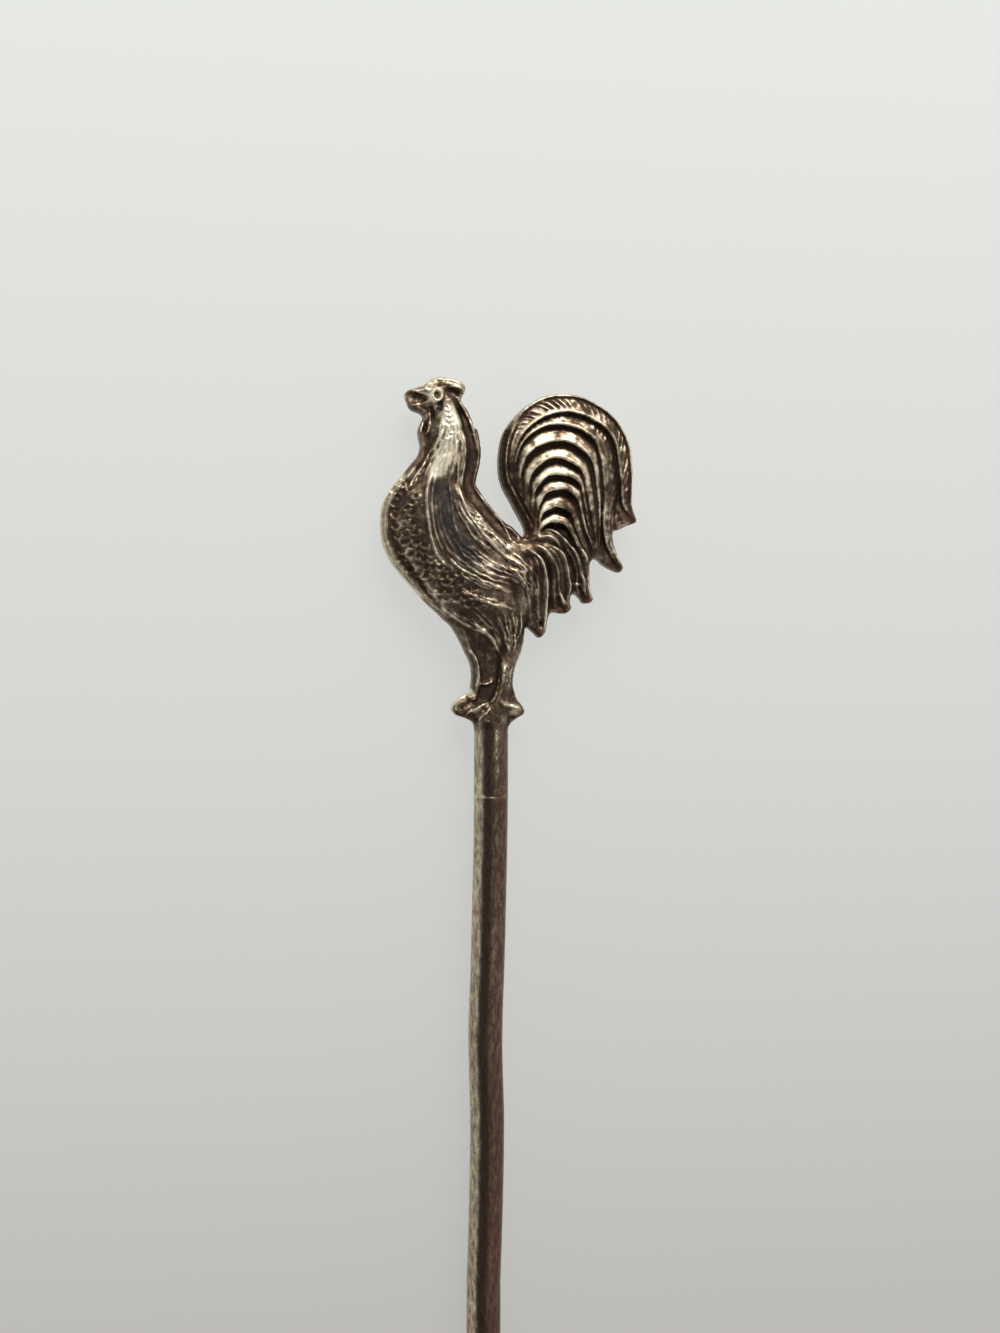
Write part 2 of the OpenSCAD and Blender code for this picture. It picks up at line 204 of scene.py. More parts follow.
def fan_out(first, last, count, wide, rise, wander, seed):
    """Strands from one curve over to another, with a little wander of their own"""
    rng = np.random.default_rng(seed)
    a, b = spline(first, 8), spline(last, 8)
    for i in range(count):
        t = (i + 0.5 + 0.3 * rng.uniform(-1, 1)) / count
        start, end = sorted(rng.uniform([0, 0.75], [0.2, 1]))
        line = spline(a + (b - a) * t, 60)[int(60 * start):int(60 * end) + 1:6]
        line = line + rng.normal(0, wander, line.shape)
        stroke(line, wide * rng.uniform(0.8, 1.2), rise * rng.uniform(0.5, 0.95))


def limb(balls):
    """A chain of balls [u, v, diameter, thickness] blended one into the next"""
    for u, v, d, t in spline(balls, 12 * (len(balls) - 1)):
        at = window((u - d / 2, v - d / 2), (u + d / 2, v + d / 2))
        r = ((U[at] - u) ** 2 + (V[at] - v) ** 2) / (d / 2) ** 2
        relief[at] = np.maximum(relief[at], t / 2 * np.sqrt(np.clip(1 - r, 0, 1)))


def soften(field, reach):
    """A blur of the map, which finds what is hollow and what stands out"""
    fu, fv = np.fft.rfftfreq(len(us), CELL), np.fft.fftfreq(len(vs), CELL)[:, None]
    return np.fft.irfft2(np.fft.rfft2(field) * np.exp(-2 * (pi * reach) ** 2 * (fu ** 2 + fv ** 2)),
        field.shape)


print("window of one cell:", window((0, 0), (CELL, CELL)))

# %% [markdown]
# ## The outline
#
# The casting is cut like a fretwork: beak, comb, neck, tail, the five feather tips, two legs and the mound
# of earth. A curve through listed points follows it. The distance of each cell to this line later
# gives the raised border and the channel inside it.

# %% Points of the outline, u and v in turn, clockwise from the beak
outline_points = np.array([
    -4.88, 17.85, -4.7, 18.02, -4.5, 18.12, -4, 18.3, -3.75, 18.4, -3.5, 18.6, -3.3, 18.75, -3, 18.8,
    -2.75, 18.83, -2.1, 18.7, -1.8, 18.6, -1.55, 18.45, -1.48, 18.25, -1.5, 18.1, -1.6, 17.9, -1.75, 17.58,
    -1.6, 17.3, -1.4, 17.05, -1.25, 16.75, -1.1, 16.4, -1.03, 16.05, -0.85, 16, -0.78, 15.8, -0.7, 15.4,
    -0.63, 14.7, -0.7, 14, -0.8, 13.6, -0.92, 13, -0.85, 12.8, -0.6, 12.4, -0.35, 12.05, 0, 11.6,
    0.3, 11.25, 0.6, 10.95, 0.85, 10.75, 1.1, 10.62, 1.4, 10.3, 1.7, 10.05, 1.83, 10.2, 1.85, 10.4,
    1.75, 10.7, 1.6, 11, 1.35, 11.45, 1, 12.1, 0.7, 12.6, 0.5, 13.1, 0.4, 13.6, 0.37, 14.2, 0.4, 14.7,
    0.47, 15.2, 0.6, 15.7, 0.85, 16.2, 1.1, 16.55, 1.5, 17, 2, 17.4, 2.5, 17.7, 3, 17.9, 3.5, 18, 4, 18.03,
    4.5, 18, 5, 17.9, 5.5, 17.7, 6, 17.45, 6.5, 17.1, 7, 16.6, 7.35, 16.1, 7.6, 15.6, 7.8, 15, 7.9, 14,
    7.88, 13, 7.85, 12.5, 7.87, 12, 7.95, 11.6, 8.13, 11.05, 8, 10.88, 7.6, 10.75, 7.3, 10.6, 7.1, 10.5,
    6.85, 10.45, 6.78, 10.1, 6.85, 9.6, 7, 9.2, 7.2, 8.8, 7.35, 8.5, 7.35, 8.3, 7.17, 8.13, 6.9, 8.22,
    6.5, 8.4, 6.2, 8.6, 6, 8.8, 5.8, 8.88, 5.6, 8.8, 5.5, 8.6, 5.47, 8.2, 5.47, 7.6, 5.52, 7.1, 5.66, 6.65,
    5.5, 6.42, 5.15, 6.4, 5.05, 6.55, 4.9, 6.75, 4.65, 6.9, 4.45, 6.85, 4.35, 6.6, 4.38, 6.3, 4.45, 6.1,
    4.15, 5.83, 3.8, 5.83, 3.4, 5.88, 3.2, 5.75, 3.1, 5.4, 3.05, 5.1, 2.97, 4.75, 2.7, 4.47, 2.55, 4.55,
    2.3, 4.8, 2.05, 5, 1.9, 5.03, 1.83, 4.9, 1.8, 4.6, 1.75, 4.2, 1.65, 3.7, 1.5, 3.3, 1.35, 2.95,
    1.25, 2.6, 1.18, 2.2, 1.17, 1.8, 1.3, 1.35, 1.4, 1.05, 1.6, 0.8, 1.75, 0.6, 1.82, 0.4, 1.75, 0.2,
    1.4, 0, 1.08, -0.25, 0.9, -0.5, 0.6, -0.75, 0, -0.85, -0.6, -0.75, -0.9, -0.5, -1.05, -0.22,
    -1.4, -0.02, -1.7, 0.08, -2, 0.2, -2.25, 0.45, -2.2, 0.7, -2.05, 0.95, -1.8, 1.15, -1.5, 1.3,
    -1.25, 1.42, -1.17, 1.6, -1.1, 2.1, -1.1, 2.5, -1.15, 2.9, -1.25, 3.2, -1.5, 3.7, -1.7, 4.15, -2, 4.7,
    -2.3, 5.15, -2.6, 5.4, -3.1, 5.9, -3.5, 6.25, -4, 6.75, -4.5, 7.3, -4.85, 7.7, -5.1, 8, -5.5, 8.5,
    -5.75, 8.95, -6, 9.5, -6.1, 10, -6.15, 10.5, -6.15, 11, -6.1, 11.5, -5.95, 12, -5.7, 12.45,
    -5.35, 12.95, -5, 13.35, -4.5, 14, -4.1, 14.5, -3.97, 15, -4.03, 15.35, -4.08, 15.6, -4.1, 15.85,
    -4.05, 16.05, -3.95, 16.3, -3.85, 16.5, -3.82, 16.65, -4, 16.85, -4.3, 16.95, -4.55, 17.1, -4.65, 17.3,
    -4.75, 17.55, -4.88, 17.85]).reshape(-1, 2)
outline = spline(outline_points, 3 * len(outline_points))

edge_reach = 1.4
edge = np.full(U.shape, edge_reach)
for a, b in zip(outline[:-1], outline[1:]):
    at, gap, _ = trail([a, b], edge_reach)
    edge[at] = np.minimum(edge[at], gap)
print("outline:", len(outline_points), "points,", len(outline), "on the curve")

# %% [markdown]
# ## Body
#
# The breast, belly and back make one swelling form. Rows cross it from the head down to the thighs, each
# with its two ends and its thickness, as in the part's own source. A domed section between the ends fills
# it.

# %% The domed body
neck_h, body_h, tail_h, head_t, leg_t, mound_t = 1.25, 1.45, 1.6, 2.0, 1.7, 2.3
body_rows = [
    (-3.4, 17.3, -1.75, 17.75, 0.86 * neck_h), (-3.55, 16.4, -1.2, 16.6, 0.95 * neck_h),
    (-3.75, 15.6, -0.74, 15.5, neck_h), (-4, 14.9, -0.63, 14.5, neck_h), (-4.5, 14, -0.78, 13.6, 1.3),
    (-5.35, 12.95, -0.87, 12.8, 1.36), (-5.95, 12, -0.3, 12, 1.41), (-6.15, 11, 0.6, 10.95, body_h),
    (-6.1, 10, 1.5, 10.1, body_h), (-5.75, 8.95, 2, 9, body_h), (-5.1, 8, 2.3, 8, 0.98 * body_h),
    (-4.2, 7, 2.4, 7.1, 0.94 * body_h), (-3.1, 5.9, 2.2, 6.3, 0.88 * body_h),
    (-2.3, 5.15, 1.8, 5.5, 0.74 * body_h), (-1.8, 4.3, 1.75, 4.5, 0.55 * body_h),
    (-1.4, 3.7, 1.6, 3.8, 0.36 * body_h), (-1.2, 3.1, 1.4, 3.2, web_h)]
rim_h = 0.55
rows = spline(body_rows, 1300)
across = np.linspace(0, 1, 500)
lay(*cross(rows, across), rim_h + (rows[:, 4:] - rim_h) * np.sin(pi * across) ** 0.65, 0)
print("body rows:", len(body_rows), "highest:", round(relief.max(), 3))

# %% [markdown]
# ## Tail
#
# Nine curves arch over the tail, each from its root on the left to its tip on the right. Between two of
# them lies one sickle feather. Its section rises gently from a dark groove to the quill, then drops to the
# next feather, like shingles. Barbs hatch the two outer feathers, leaning back to the root, and faint
# strands run along the others.

# %% The sickle feathers
feather_step = 0.3
arches = [(4.1, 14.2, 3.74, 3.83), (4.1, 14, 2.95, 2.87), (3.6, 13.9, 2.4, 2.3), (3.55, 13.3, 2.05, 1.95),
    (3.5, 12.75, 1.55, 1.55), (3.6, 12.1, 1.4, 1.3), (3.6, 11.4, 1.15, 1.2), (3.45, 10.7, 0.95, 0.9),
    (3.35, 10, 0.9, 0.8)]
falls = [[(7.88, 12.8), (7.86, 12), (8.13, 11.05)], [(7.05, 13), (7.25, 11.8), (7.95, 11.05)],
    [(6.03, 12.4), (6.15, 10), (7.08, 8.27)], [(5.72, 12.4), (5.85, 11), (5.9, 9.4)],
    [(5.15, 12), (5.4, 10.9), (5.8, 9.35)], [(5, 11.6), (5.15, 10.7), (5.7, 9.35)],
    [(4.85, 11), (5.1, 10.2), (5.6, 9.3)], [(4.55, 10.2), (5.03, 9.35), (5.33, 8.66)],
    [(4.5, 9.7), (4.9, 8.9), (5.2, 7.8)]]
second_fall = [(7, 12.8), (6.8, 10.4), (7.35, 8.4)]
fan_fall = [(6.03, 12.4), (6, 11), (6.05, 9.5)]
crest_share = [0.6, 0.64, 0.77, 0.85, 0.92, 0.97, 1, 1, 0.97]
swell = [(0, 0.5), (0.08, 0.62), (0.22, 1), (0.8, 1), (0.92, 0.8), (1, 0.5)]
section = [(0, -1), (0.1, -0.7), (0.2, -0.4), (0.33, 0.25), (0.55, 0.62), (0.78, 0.88), (0.88, 1.03),
    (0.93, 0.85), (1, -1)]
wide_section = [(0, -1), (0.12, -0.85), (0.28, -0.6), (0.4, 0.15), (0.58, 0.65), (0.8, 0.9), (0.88, 1.03),
    (0.93, 0.85), (1, -1)]
# Shades across a feather: dark in the groove under the crest outside it, partly oxide and partly painted
# shadow, and bright at its own crest, partly wear and partly painted highlight.
barbed_shade = [(0, -0.2), (0.12, -0.16), (0.35, -0.08), (0.7, 0.02), (0.86, 0.2), (0.94, 0.1), (1, -0.2)]
plain_shade = [(0, -0.2), (0.12, -0.15), (0.25, -0.05), (0.5, 0.06), (0.72, 0.2), (0.86, 0.12),
    (0.91, 0.22), (0.95, 0), (1, -0.2)]
wide_shade = [(0, -0.24), (0.28, -0.2), (0.4, 0.02), (0.55, 0.2), (0.75, 0.12), (0.85, 0.04), (0.91, 0.2),
    (0.95, 0), (1, -0.22)]
barbed_section = [(0, -0.6), (0.12, -0.35), (0.4, 0.05), (0.7, 0.5), (0.86, 1), (0.91, 1.1), (0.95, 0.7),
    (1, -0.7)]
along, between = np.linspace(0, 1, 1200)[:, None], np.linspace(0, 1, 120)
print("arches:", len(arches), "steps along a feather:", len(along))

# %% One feather
def tail_curve(k, fall, root):
    u, v, half, tall = arches[k]
    arch = [(u + half * cos(radians(w)), v + tall * sin(radians(w))) for w in range(195, -1, -28)]
    curve = spline([(1.85 + 0.06 * k, root)] + arch + fall, len(along) - 1)
    shake = 0.03 * np.sin(pi * along) * np.sin(np.array([33, 27]) * along + (k, 2 * k)) * (k > 0)
    return curve + shake + 0.4 * shake * np.sin(61 * along + 3 * k)


def feather(k, outer, inner, barb, barbs):
    """One sickle feather between two curves; barb is the height of its hatching"""
    tall = crest_share[k + 1] * tail_h * table(along, swell)
    low_end = 0.85 if k < 2 else 0.4
    deep = feather_step * table(along, [(0, 0.05), (0.08, 0.1), (0.24, 1), (0.62, 1), (0.85, low_end),
        (1, 0.3)])
    h = tall - deep * (1 - table(between, barbed_section if k == 0 else section if k < 3 else wide_section))
    shade = table(between, barbed_shade if k < 2 else plain_shade if k < 3 else wide_shade)
    # Along the feather it is darker near the root and down the flanks; the bright arch tops between are a
    # painted highlight where the arches face the light.
    dull_from = 0.68 if k in (1, 2) else 0.45
    shade = shade - 0.2 * (1 - ease(along, 0.12, 0.32) * ebb(along, dull_from, dull_from + 0.18))
    shade = shade - 0.03 * max(k - 4, 0)
    rng = np.random.default_rng(20 + k)
    own = rng.uniform(-0.38, 0.38, (2, barbs + 4))
    turn = barbs * along - (2.5 + 2 * ebb(along, 0.1, 0.45)) * between + 3
    shift = np.interp(turn, np.arange(barbs + 4), own[0])
    height = 0.6 + np.interp(np.rint(turn), np.arange(barbs + 4), own[1])
    hatch = np.clip(np.sin(2 * pi * (turn + shift)), -0.5, 1) * height
    inside = 0.86 if k == 0 else 0.6
    first = 0.2 if k < 2 else 0.3
    reach = ease(between, 0.05, 0.2) * ebb(between, inside - 0.3, inside) * ease(along, first, first + 0.16)
    reach = reach * ebb(along, 0.8, 0.92)
    strand = np.sin(2 * pi * (4.3 * between + 0.35 * np.sin(8 * along + 2 * k)))
    strand = strand * np.sin(23 * along + 5 * k + 6 * between)
    strand = strand * ease(between, 0.25, 0.45) * ease(along, 0.15, 0.3) * (k > 0)
    h = h + barb * hatch * reach + 0.012 * strand
    shade = shade + 2.1 * barb * hatch * reach + 0.09 * strand
    lay(*cross(np.hstack([outer, inner]), between), h, shade)


print("steps across a feather:", len(between))

# %% All the feathers, each over the one before
fan_slant = 0.235
feather(0, tail_curve(0, falls[0], 10.4), tail_curve(1, falls[1], 10.4), 0.12, 40)
feather(1, tail_curve(1, second_fall, 10.22), tail_curve(2, falls[2], 10.22), 0.08, 34)
for k in range(2, len(arches) - 1):
    root = 10.03 - fan_slant * (k - 2)
    feather(k, tail_curve(k, fan_fall if k == 2 else falls[k], root),
        tail_curve(k + 1, falls[k + 1], root - fan_slant), 0.02, 24)
print("feathers:", len(arches) - 1, "highest:", round(relief.max(), 3))

# %% [markdown]
# ## Covert feathers, saddle and legs
#
# Under the tail three covert feathers end in tips of their own. The legs, the head and the mound of earth
# are rounder, so chains of balls make them, as a modeller rolls sausages of wax.

# %% Coverts
coverts = [
    [(4.3, 9.9, 3.35, 9.65, 0.6), (5, 9.3, 3.9, 9.1, 0.87), (5.43, 8.43, 4.3, 8.2, 0.72),
     (5.46, 7.5, 4.4, 7.3, 0.58), (5.55, 6.95, 4.7, 6.85, 0.47), (5.64, 6.55, 5.15, 6.42, 0.32)],
    [(2.9, 9.75, 2.1, 9.55, 0.6), (3.7, 9.3, 2.75, 8.9, 0.94), (4.15, 8.5, 3, 7.9, 0.85),
     (4.35, 7.5, 3.03, 6.95, 0.7), (4.36, 6.7, 3.2, 6, 0.52), (4.42, 6.15, 3.9, 5.84, 0.32)],
    [(2.1, 9.4, 1.5, 9.15, 0.55), (2.75, 8.8, 1.8, 8.4, 0.92), (3, 7.9, 1.7, 7.5, 0.85),
     (3.08, 6.9, 1.6, 6.5, 0.7), (3.05, 5.4, 1.8, 5.4, 0.5), (2.8, 4.5, 2.6, 4.48, 0.32)]]
covert_section = [(0, -0.8), (0.06, 0.6), (0.12, 1), (0.28, -0.1), (0.42, 0.6), (0.6, -0.3), (0.74, 0.4),
    (1, -1)]
for covert in coverts:
    rows, across = spline(covert, 400), np.linspace(0, 1, 90)
    bumps = table(across, covert_section)
    lay(*cross(rows, across), tail_h * rows[:, 4:] - 0.6 * feather_step * (1 - bumps), 0.1 * bumps - 0.12)
print("coverts:", len(coverts))

# %% Saddle, legs, head and mound
limb([(1.7, 9.15, 1.5, 0.72 * 2 * tail_h), (2.85, 9.33, 1.5, 0.82 * 2 * tail_h)])
limb([(1.75, 9.7, 0.9, 1.3), (2.35, 9.85, 1.3, 2), (2.95, 9.95, 1.6, 2.4), (3.5, 9.95, 1.7, 2.5),
    (4.1, 9.5, 1.5, 2.4)])
limb([(0.3, 10.1, 1, 1.5), (0.8, 9.4, 1.8, 2.2), (1.2, 8.6, 2.3, 2.6), (1.38, 7.8, 2.4, 2.6),
    (1.45, 6.8, 2.1, 2.35), (1.35, 5.8, 1.6, 1.9), (1.2, 5, 1.3, 1.6)])
limb([(-1.75, 5, 1.1, 1.6), (-1.4, 4, 0.75, leg_t), (-0.98, 3.2, 0.58, leg_t), (-0.82, 2.5, 0.52, leg_t),
    (-0.84, 1.9, 0.52, leg_t), (-1.1, 1.2, 0.7, leg_t)])
limb([(0.75, 5, 2, 1.5), (1.05, 4, 1.3, leg_t), (0.82, 3.1, 1.1, 1.15 * leg_t),
    (0.7, 2.4, 0.95, 1.1 * leg_t), (0.66, 1.7, 1, 1.1 * leg_t), (0.4, 0.8, 1.5, 1.2 * leg_t)])
limb([(0.95, 1, 0.9, 1.3), (1.1, 0.7, 0.9, 1.5)])
limb([(0.5, 1.2, 1.25, 2), (0.35, 0.6, 1.45, 2.1), (0.08, -0.05, 1.85, 2), (0, -0.5, 1.9, 1.9),
    (0, -0.9, 1.88, 1.84)])
for u, v, wide, tall, thick in [(-1.55, 0.65, 1.4, 1.2, 1.4), (-0.45, 0.4, 1.8, 1.3, 0.72 * mound_t),
        (1.05, 0.5, 1.65, 1.05, 1.6)]:
    r = ((U - u) / wide * 2) ** 2 + ((V - v) / tall * 2) ** 2
    relief = np.maximum(relief, thick / 2 * np.sqrt(np.clip(1 - r, 0, 1)))
limb([(-3.05, 17.65, 1.5, head_t), (-2.45, 17.5, 1.35, head_t)])
limb([(-3.3, 17.9, 1.1, 0.9 * head_t), (-4, 18.03, 0.5, 0.7 * head_t), (-4.76, 17.92, 0.2, 0.4 * head_t)])
limb([(-3.43, 17.32, 0.88, 0.8 * head_t), (-4.1, 17.15, 0.45, 0.6 * head_t),
    (-4.55, 17.28, 0.25, 0.45 * head_t)])
limb([(-3.4, 18.3, 0.5, 1.3), (-2.95, 18.52, 0.55, 1.3), (-2.13, 18.4, 0.57, 1.2),
    (-1.72, 18.21, 0.4, 1.1)])
limb([(-3.72, 16.5, 0.4, 1.2), (-3.78, 16, 0.6, 1.2), (-3.78, 15.55, 0.45, 1.1)])
print("highest with the limbs:", round(relief.max(), 3))

# %% [markdown]
# ## Border and channel
#
# A thin raised border follows the outline, with a smooth brown channel inside it on the neck, the back and
# the breast. The tail has the border and a narrow groove. Each is a section over the distance to the
# outline.

# %% Sections along the edge
rim_section = [(-0.16, 0.2), (0, 0.4), (0.07, 0.54), (0.14, 0.63), (0.21, 0.6), (0.29, 0.53), (0.5, 0.58),
    (0.75, 0.7), (1.1, 0.88)]
tail_section = [(-0.16, 0.2), (0, 0.4), (0.06, 0.6), (0.11, 0.68), (0.16, 0.66), (0.22, 0.52), (0.3, 0.5),
    (0.4, 0.6)]
plain_section = [(-0.16, 0.2), (0, 0.38), (0.06, 0.52), (0.16, 0.75), (0.35, 1.1), (0.7, 2)]
notch = (1.75, 10.05)
tail_side = (V > notch[1]) & (U > notch[0] - 0.63 * (np.minimum(V, 13) - notch[1]))
back_end = U - table(V, [(8.8, -1), (9.6, 0.9), (10.05, 1.75), (10.5, 2)])
channel = ease(V, 5.6, 7) * ebb(V, 16.9, 17.5) * ~tail_side * ebb(back_end, -0.5, 0)
channel_wide = table(V, [(6, 0.45), (9, 0.85), (12, 1.05), (16, 1.0), (17.5, 0.8)])
faces_left = soften(np.gradient(edge, CELL, axis=1), 0.08)
upper_end = np.where(U > 0, ebb(V, 15.5, 17.5), ebb(V, 13.8, 15.2))
draft = np.where(tail_side, 0.24, 0.15)
edge = edge - draft * ease(faces_left, 0.3, 0.9) * ease(V, 6, 8) * upper_end
over_stub = ebb(V, -0.35, -0.1) * ebb(np.abs(U), 0.85, 1)
plain = np.minimum(relief, table(edge, plain_section) + 2 * over_stub)
back_share = ease(U, -2, -1.2) * ebb(V, 12, 13)
inner = ease(edge / channel_wide, 0.5, 1.05 + 0.35 * back_share)
sunk = table(edge, rim_section) * (1 - inner) + plain * inner
inner = ease(edge, 0.2, 0.36)
bordered = table(edge, tail_section) * (1 - inner) + plain * inner
tail_share = tail_side * ease(V, 10.3, 11.2) * np.maximum(ebb(U, 5.6, 6.4), ease(V, 11.2, 12.2))
relief = plain + (sunk - plain) * channel + (bordered - plain) * tail_share
print("channel covers", round(float((channel * (edge < 0.7)).sum() * CELL ** 2), 1), "mm2")

# %% [markdown]
# ## Strands, scales and lines
#
# The finer work is drawn with strokes: the hackle that fans from the head to the shoulders, the long
# strands of the wing and the saddle, the lines of the legs. Curves at the two borders of a patch are
# enough, because the strands between them follow by blending one border into the other.

# %% Hackle, wing and saddle
fan_out([(-2.75, 17.1), (-3, 15.9), (-3.4, 14.9), (-3.9, 13.9), (-4.5, 12.7)],
    [(-2.2, 17.2), (-1.85, 16.3), (-1.62, 15.2), (-1.6, 14.2), (-1.8, 13), (-1.75, 12.2)], 11, 0.12, 0.13,
    0.035, 3)
fan_out([(-2.8, 17), (-3.1, 15.6), (-3.6, 14.3), (-4.2, 13.2)],
    [(-2.1, 17), (-1.75, 15.7), (-1.65, 14.4), (-1.75, 13.1)], 10, 0.09, 0.1, 0.05, 8)
fan_out([(-3.5, 14.6), (-4, 13.9), (-4.6, 13), (-5, 12.4)],
    [(-3.4, 14.4), (-3.7, 13.8), (-4, 13.2), (-4.2, 12.7)], 5, 0.09, 0.1, 0.03, 9)
stroke([(-2.2, 17.2), (-1.85, 16.3), (-1.62, 15.2), (-1.58, 14.2), (-1.75, 13), (-1.7, 12.2)], 0.12, 0.14)
stroke([(-3.25, 13.9), (-3.55, 13.1), (-3.75, 12.2), (-3.65, 11), (-3.45, 9.8), (-3.05, 8.8), (-2.4, 8.2)],
    0.12, 0.16)
fan_out([(-3.3, 13), (-3.4, 11.5), (-3.15, 10.1), (-2.6, 9), (-1.9, 8.2)],
    [(-2.45, 13), (-2.4, 11.8), (-2.15, 10.6), (-1.5, 9.6), (-0.9, 8.9)], 6, 0.15, 0.09, 0.02, 5)
fan_out([(-2.9, 9.2), (-2.3, 8.4), (-1.6, 7.9), (-0.8, 7.6)],
    [(-1.7, 9.9), (-1.1, 9.2), (-0.4, 8.7), (0.4, 8.4)], 7, 0.1, 0.13, 0.03, 18)
stroke([(-2.5, 13), (-2.4, 12.2), (-2.3, 11.3), (-2.15, 10.5), (-1.8, 9.9)], 0.14, 0.12)
fan_out([(-2.3, 12.9), (-2.3, 12), (-1.95, 11.2), (-1.55, 10.5), (-1, 9.7), (-0.2, 9), (0.8, 8.5)],
    [(-1.8, 12.7), (-1.25, 12.1), (-0.6, 11.2), (0.1, 10.4), (0.8, 9.7), (1.3, 9.4), (1.9, 9.2)], 9, 0.13,
    0.13, 0.04, 11)
fan_out([(-2.1, 12.4), (-1.9, 11.6), (-1.3, 10.6), (-0.5, 9.7), (0.5, 8.8)],
    [(-1.7, 12.4), (-1.2, 11.8), (-0.5, 10.9), (0.4, 10), (1.3, 9.1)], 4, 0.1, 0.1, 0.06, 12)
fan_out([(-1.9, 12), (-1.3, 11.7), (-0.7, 11.3)], [(-0.9, 9.8), (0.2, 9.5), (1, 9.3)], 7, 0.1, 0.1, 0.03,
    13)
stroke([(-1.95, 13), (-1.85, 12.3), (-1.6, 11.5), (-1.15, 10.8), (-0.6, 10.1), (0.1, 9.4), (0.8, 8.8),
    (1.4, 8.2)], 0.15, 0.14)
stroke([(-3.15, 13.7), (-3.33, 13), (-3.45, 12), (-3.4, 11), (-3.2, 10), (-2.8, 9.1)], 0.1, 0.1)
fan_out([(-1.4, 9.8), (-0.8, 9.2), (0, 8.7), (1, 8.3), (1.6, 8.1)],
    [(-1.9, 7.9), (-1, 7.5), (0, 7.1), (1, 6.9), (1.9, 6.7)], 8, 0.11, 0.15, 0.03, 14)
fan_out([(-1.7, 9), (-1, 8.5), (-0.2, 8), (0.8, 7.7)], [(-2.2, 8), (-1.3, 7.5), (-0.4, 7.1), (0.7, 6.9)], 6,
    0.08, 0.1, 0.04, 15)
fan_out([(-2.2, 7.3), (-1, 6.85), (0.2, 6.5), (1.6, 6.4)], [(-2.1, 6.9), (-1, 6.5), (0.2, 6.15), (1.5, 6)],
    4, 0.1, 0.13, 0.04, 16)
fan_out([(1.0, 9.3), (1.8, 8.7), (2.3, 7.9), (2.6, 7), (2.7, 6)],
    [(0.6, 8.3), (1.1, 7.9), (1.6, 7.3), (1.9, 6.8), (2.1, 6.1)], 7, 0.11, 0.15, 0.03, 17)
print("strands raised:", int((rubbed > 0.3).sum()), "cells")

# %% Ridges of the coverts and the tail's lower feathers
covert_lines = [
    [(2.2, 9.7), (3, 9.15), (3.5, 8.2), (3.6, 7.4), (3.75, 6.8), (4.3, 6.1)],
    [(1.7, 9.45), (2.5, 8.85), (2.9, 7.9), (3.05, 7), (2.97, 6.3), (2.9, 4.8)],
    [(2.35, 9.9), (2.96, 10.09), (3.44, 9.81), (3.7, 9.35), (4, 8.85), (4.25, 8.3), (4.37, 7.7),
     (4.3, 6.9), (4.38, 6.15)],
    [(2.48, 10.35), (3.04, 10.48), (3.52, 10.25), (4, 9.8), (4.4, 9.3), (4.7, 8.7), (4.87, 8), (5.1, 7.6),
     (5.2, 6.8)],
    [(2.8, 10.62), (3.15, 10.76), (3.6, 10.66), (3.95, 10.4), (4.2, 10.1)],
    [(4.3, 7.35), (4.6, 7.45), (4.9, 7.4)],
    [(4.4, 10.2), (4.8, 9.6), (5.1, 9), (5.35, 8.5), (5.38, 7.5), (5.5, 6.6)],
    [(4.7, 12), (4.9, 11), (5.2, 10.2), (5.6, 9.6)],
    [(6.72, 11.5), (6.68, 10.4), (6.75, 9.7), (7, 8.9), (7.2, 8.4)]]
for line in covert_lines:
    stroke(line, 0.14, 0.12, 0.12, 24)
    stroke([(u + 0.13, v + 0.1) for u, v in line], 0.1, -0.07, 0.2, 24)
for points in ([(1.72, 10.6), (1.15, 12), (0.82, 13.2), (0.74, 14.2), (0.86, 15.2), (1.22, 16.1),
        (1.8, 16.85)], [(1.85, 10.8), (1.32, 12.1), (1, 13.2), (0.92, 14.2), (1.04, 15.2), (1.4, 16.1)]):
    stroke(points, 0.08, 0.07, 0.15, 24)
for shift in (0.16, 0.32, 0.48):
    stroke([(6.66 - shift, 11.7), (6.6 - shift, 10.6), (6.72 - 0.7 * shift, 9.6), (7 - 0.4 * shift, 8.9)],
        0.08, 0.08)
for u, v in [(6.9, 11.6), (6.3, 9.9), (4.75, 7.5), (3.6, 6.8), (2.3, 6)]:
    stroke([(u, v), (u + 0.2, v - 0.5), (u + 0.55, v - 1)], 0.14, -0.12)
print("covert lines:", len(covert_lines))

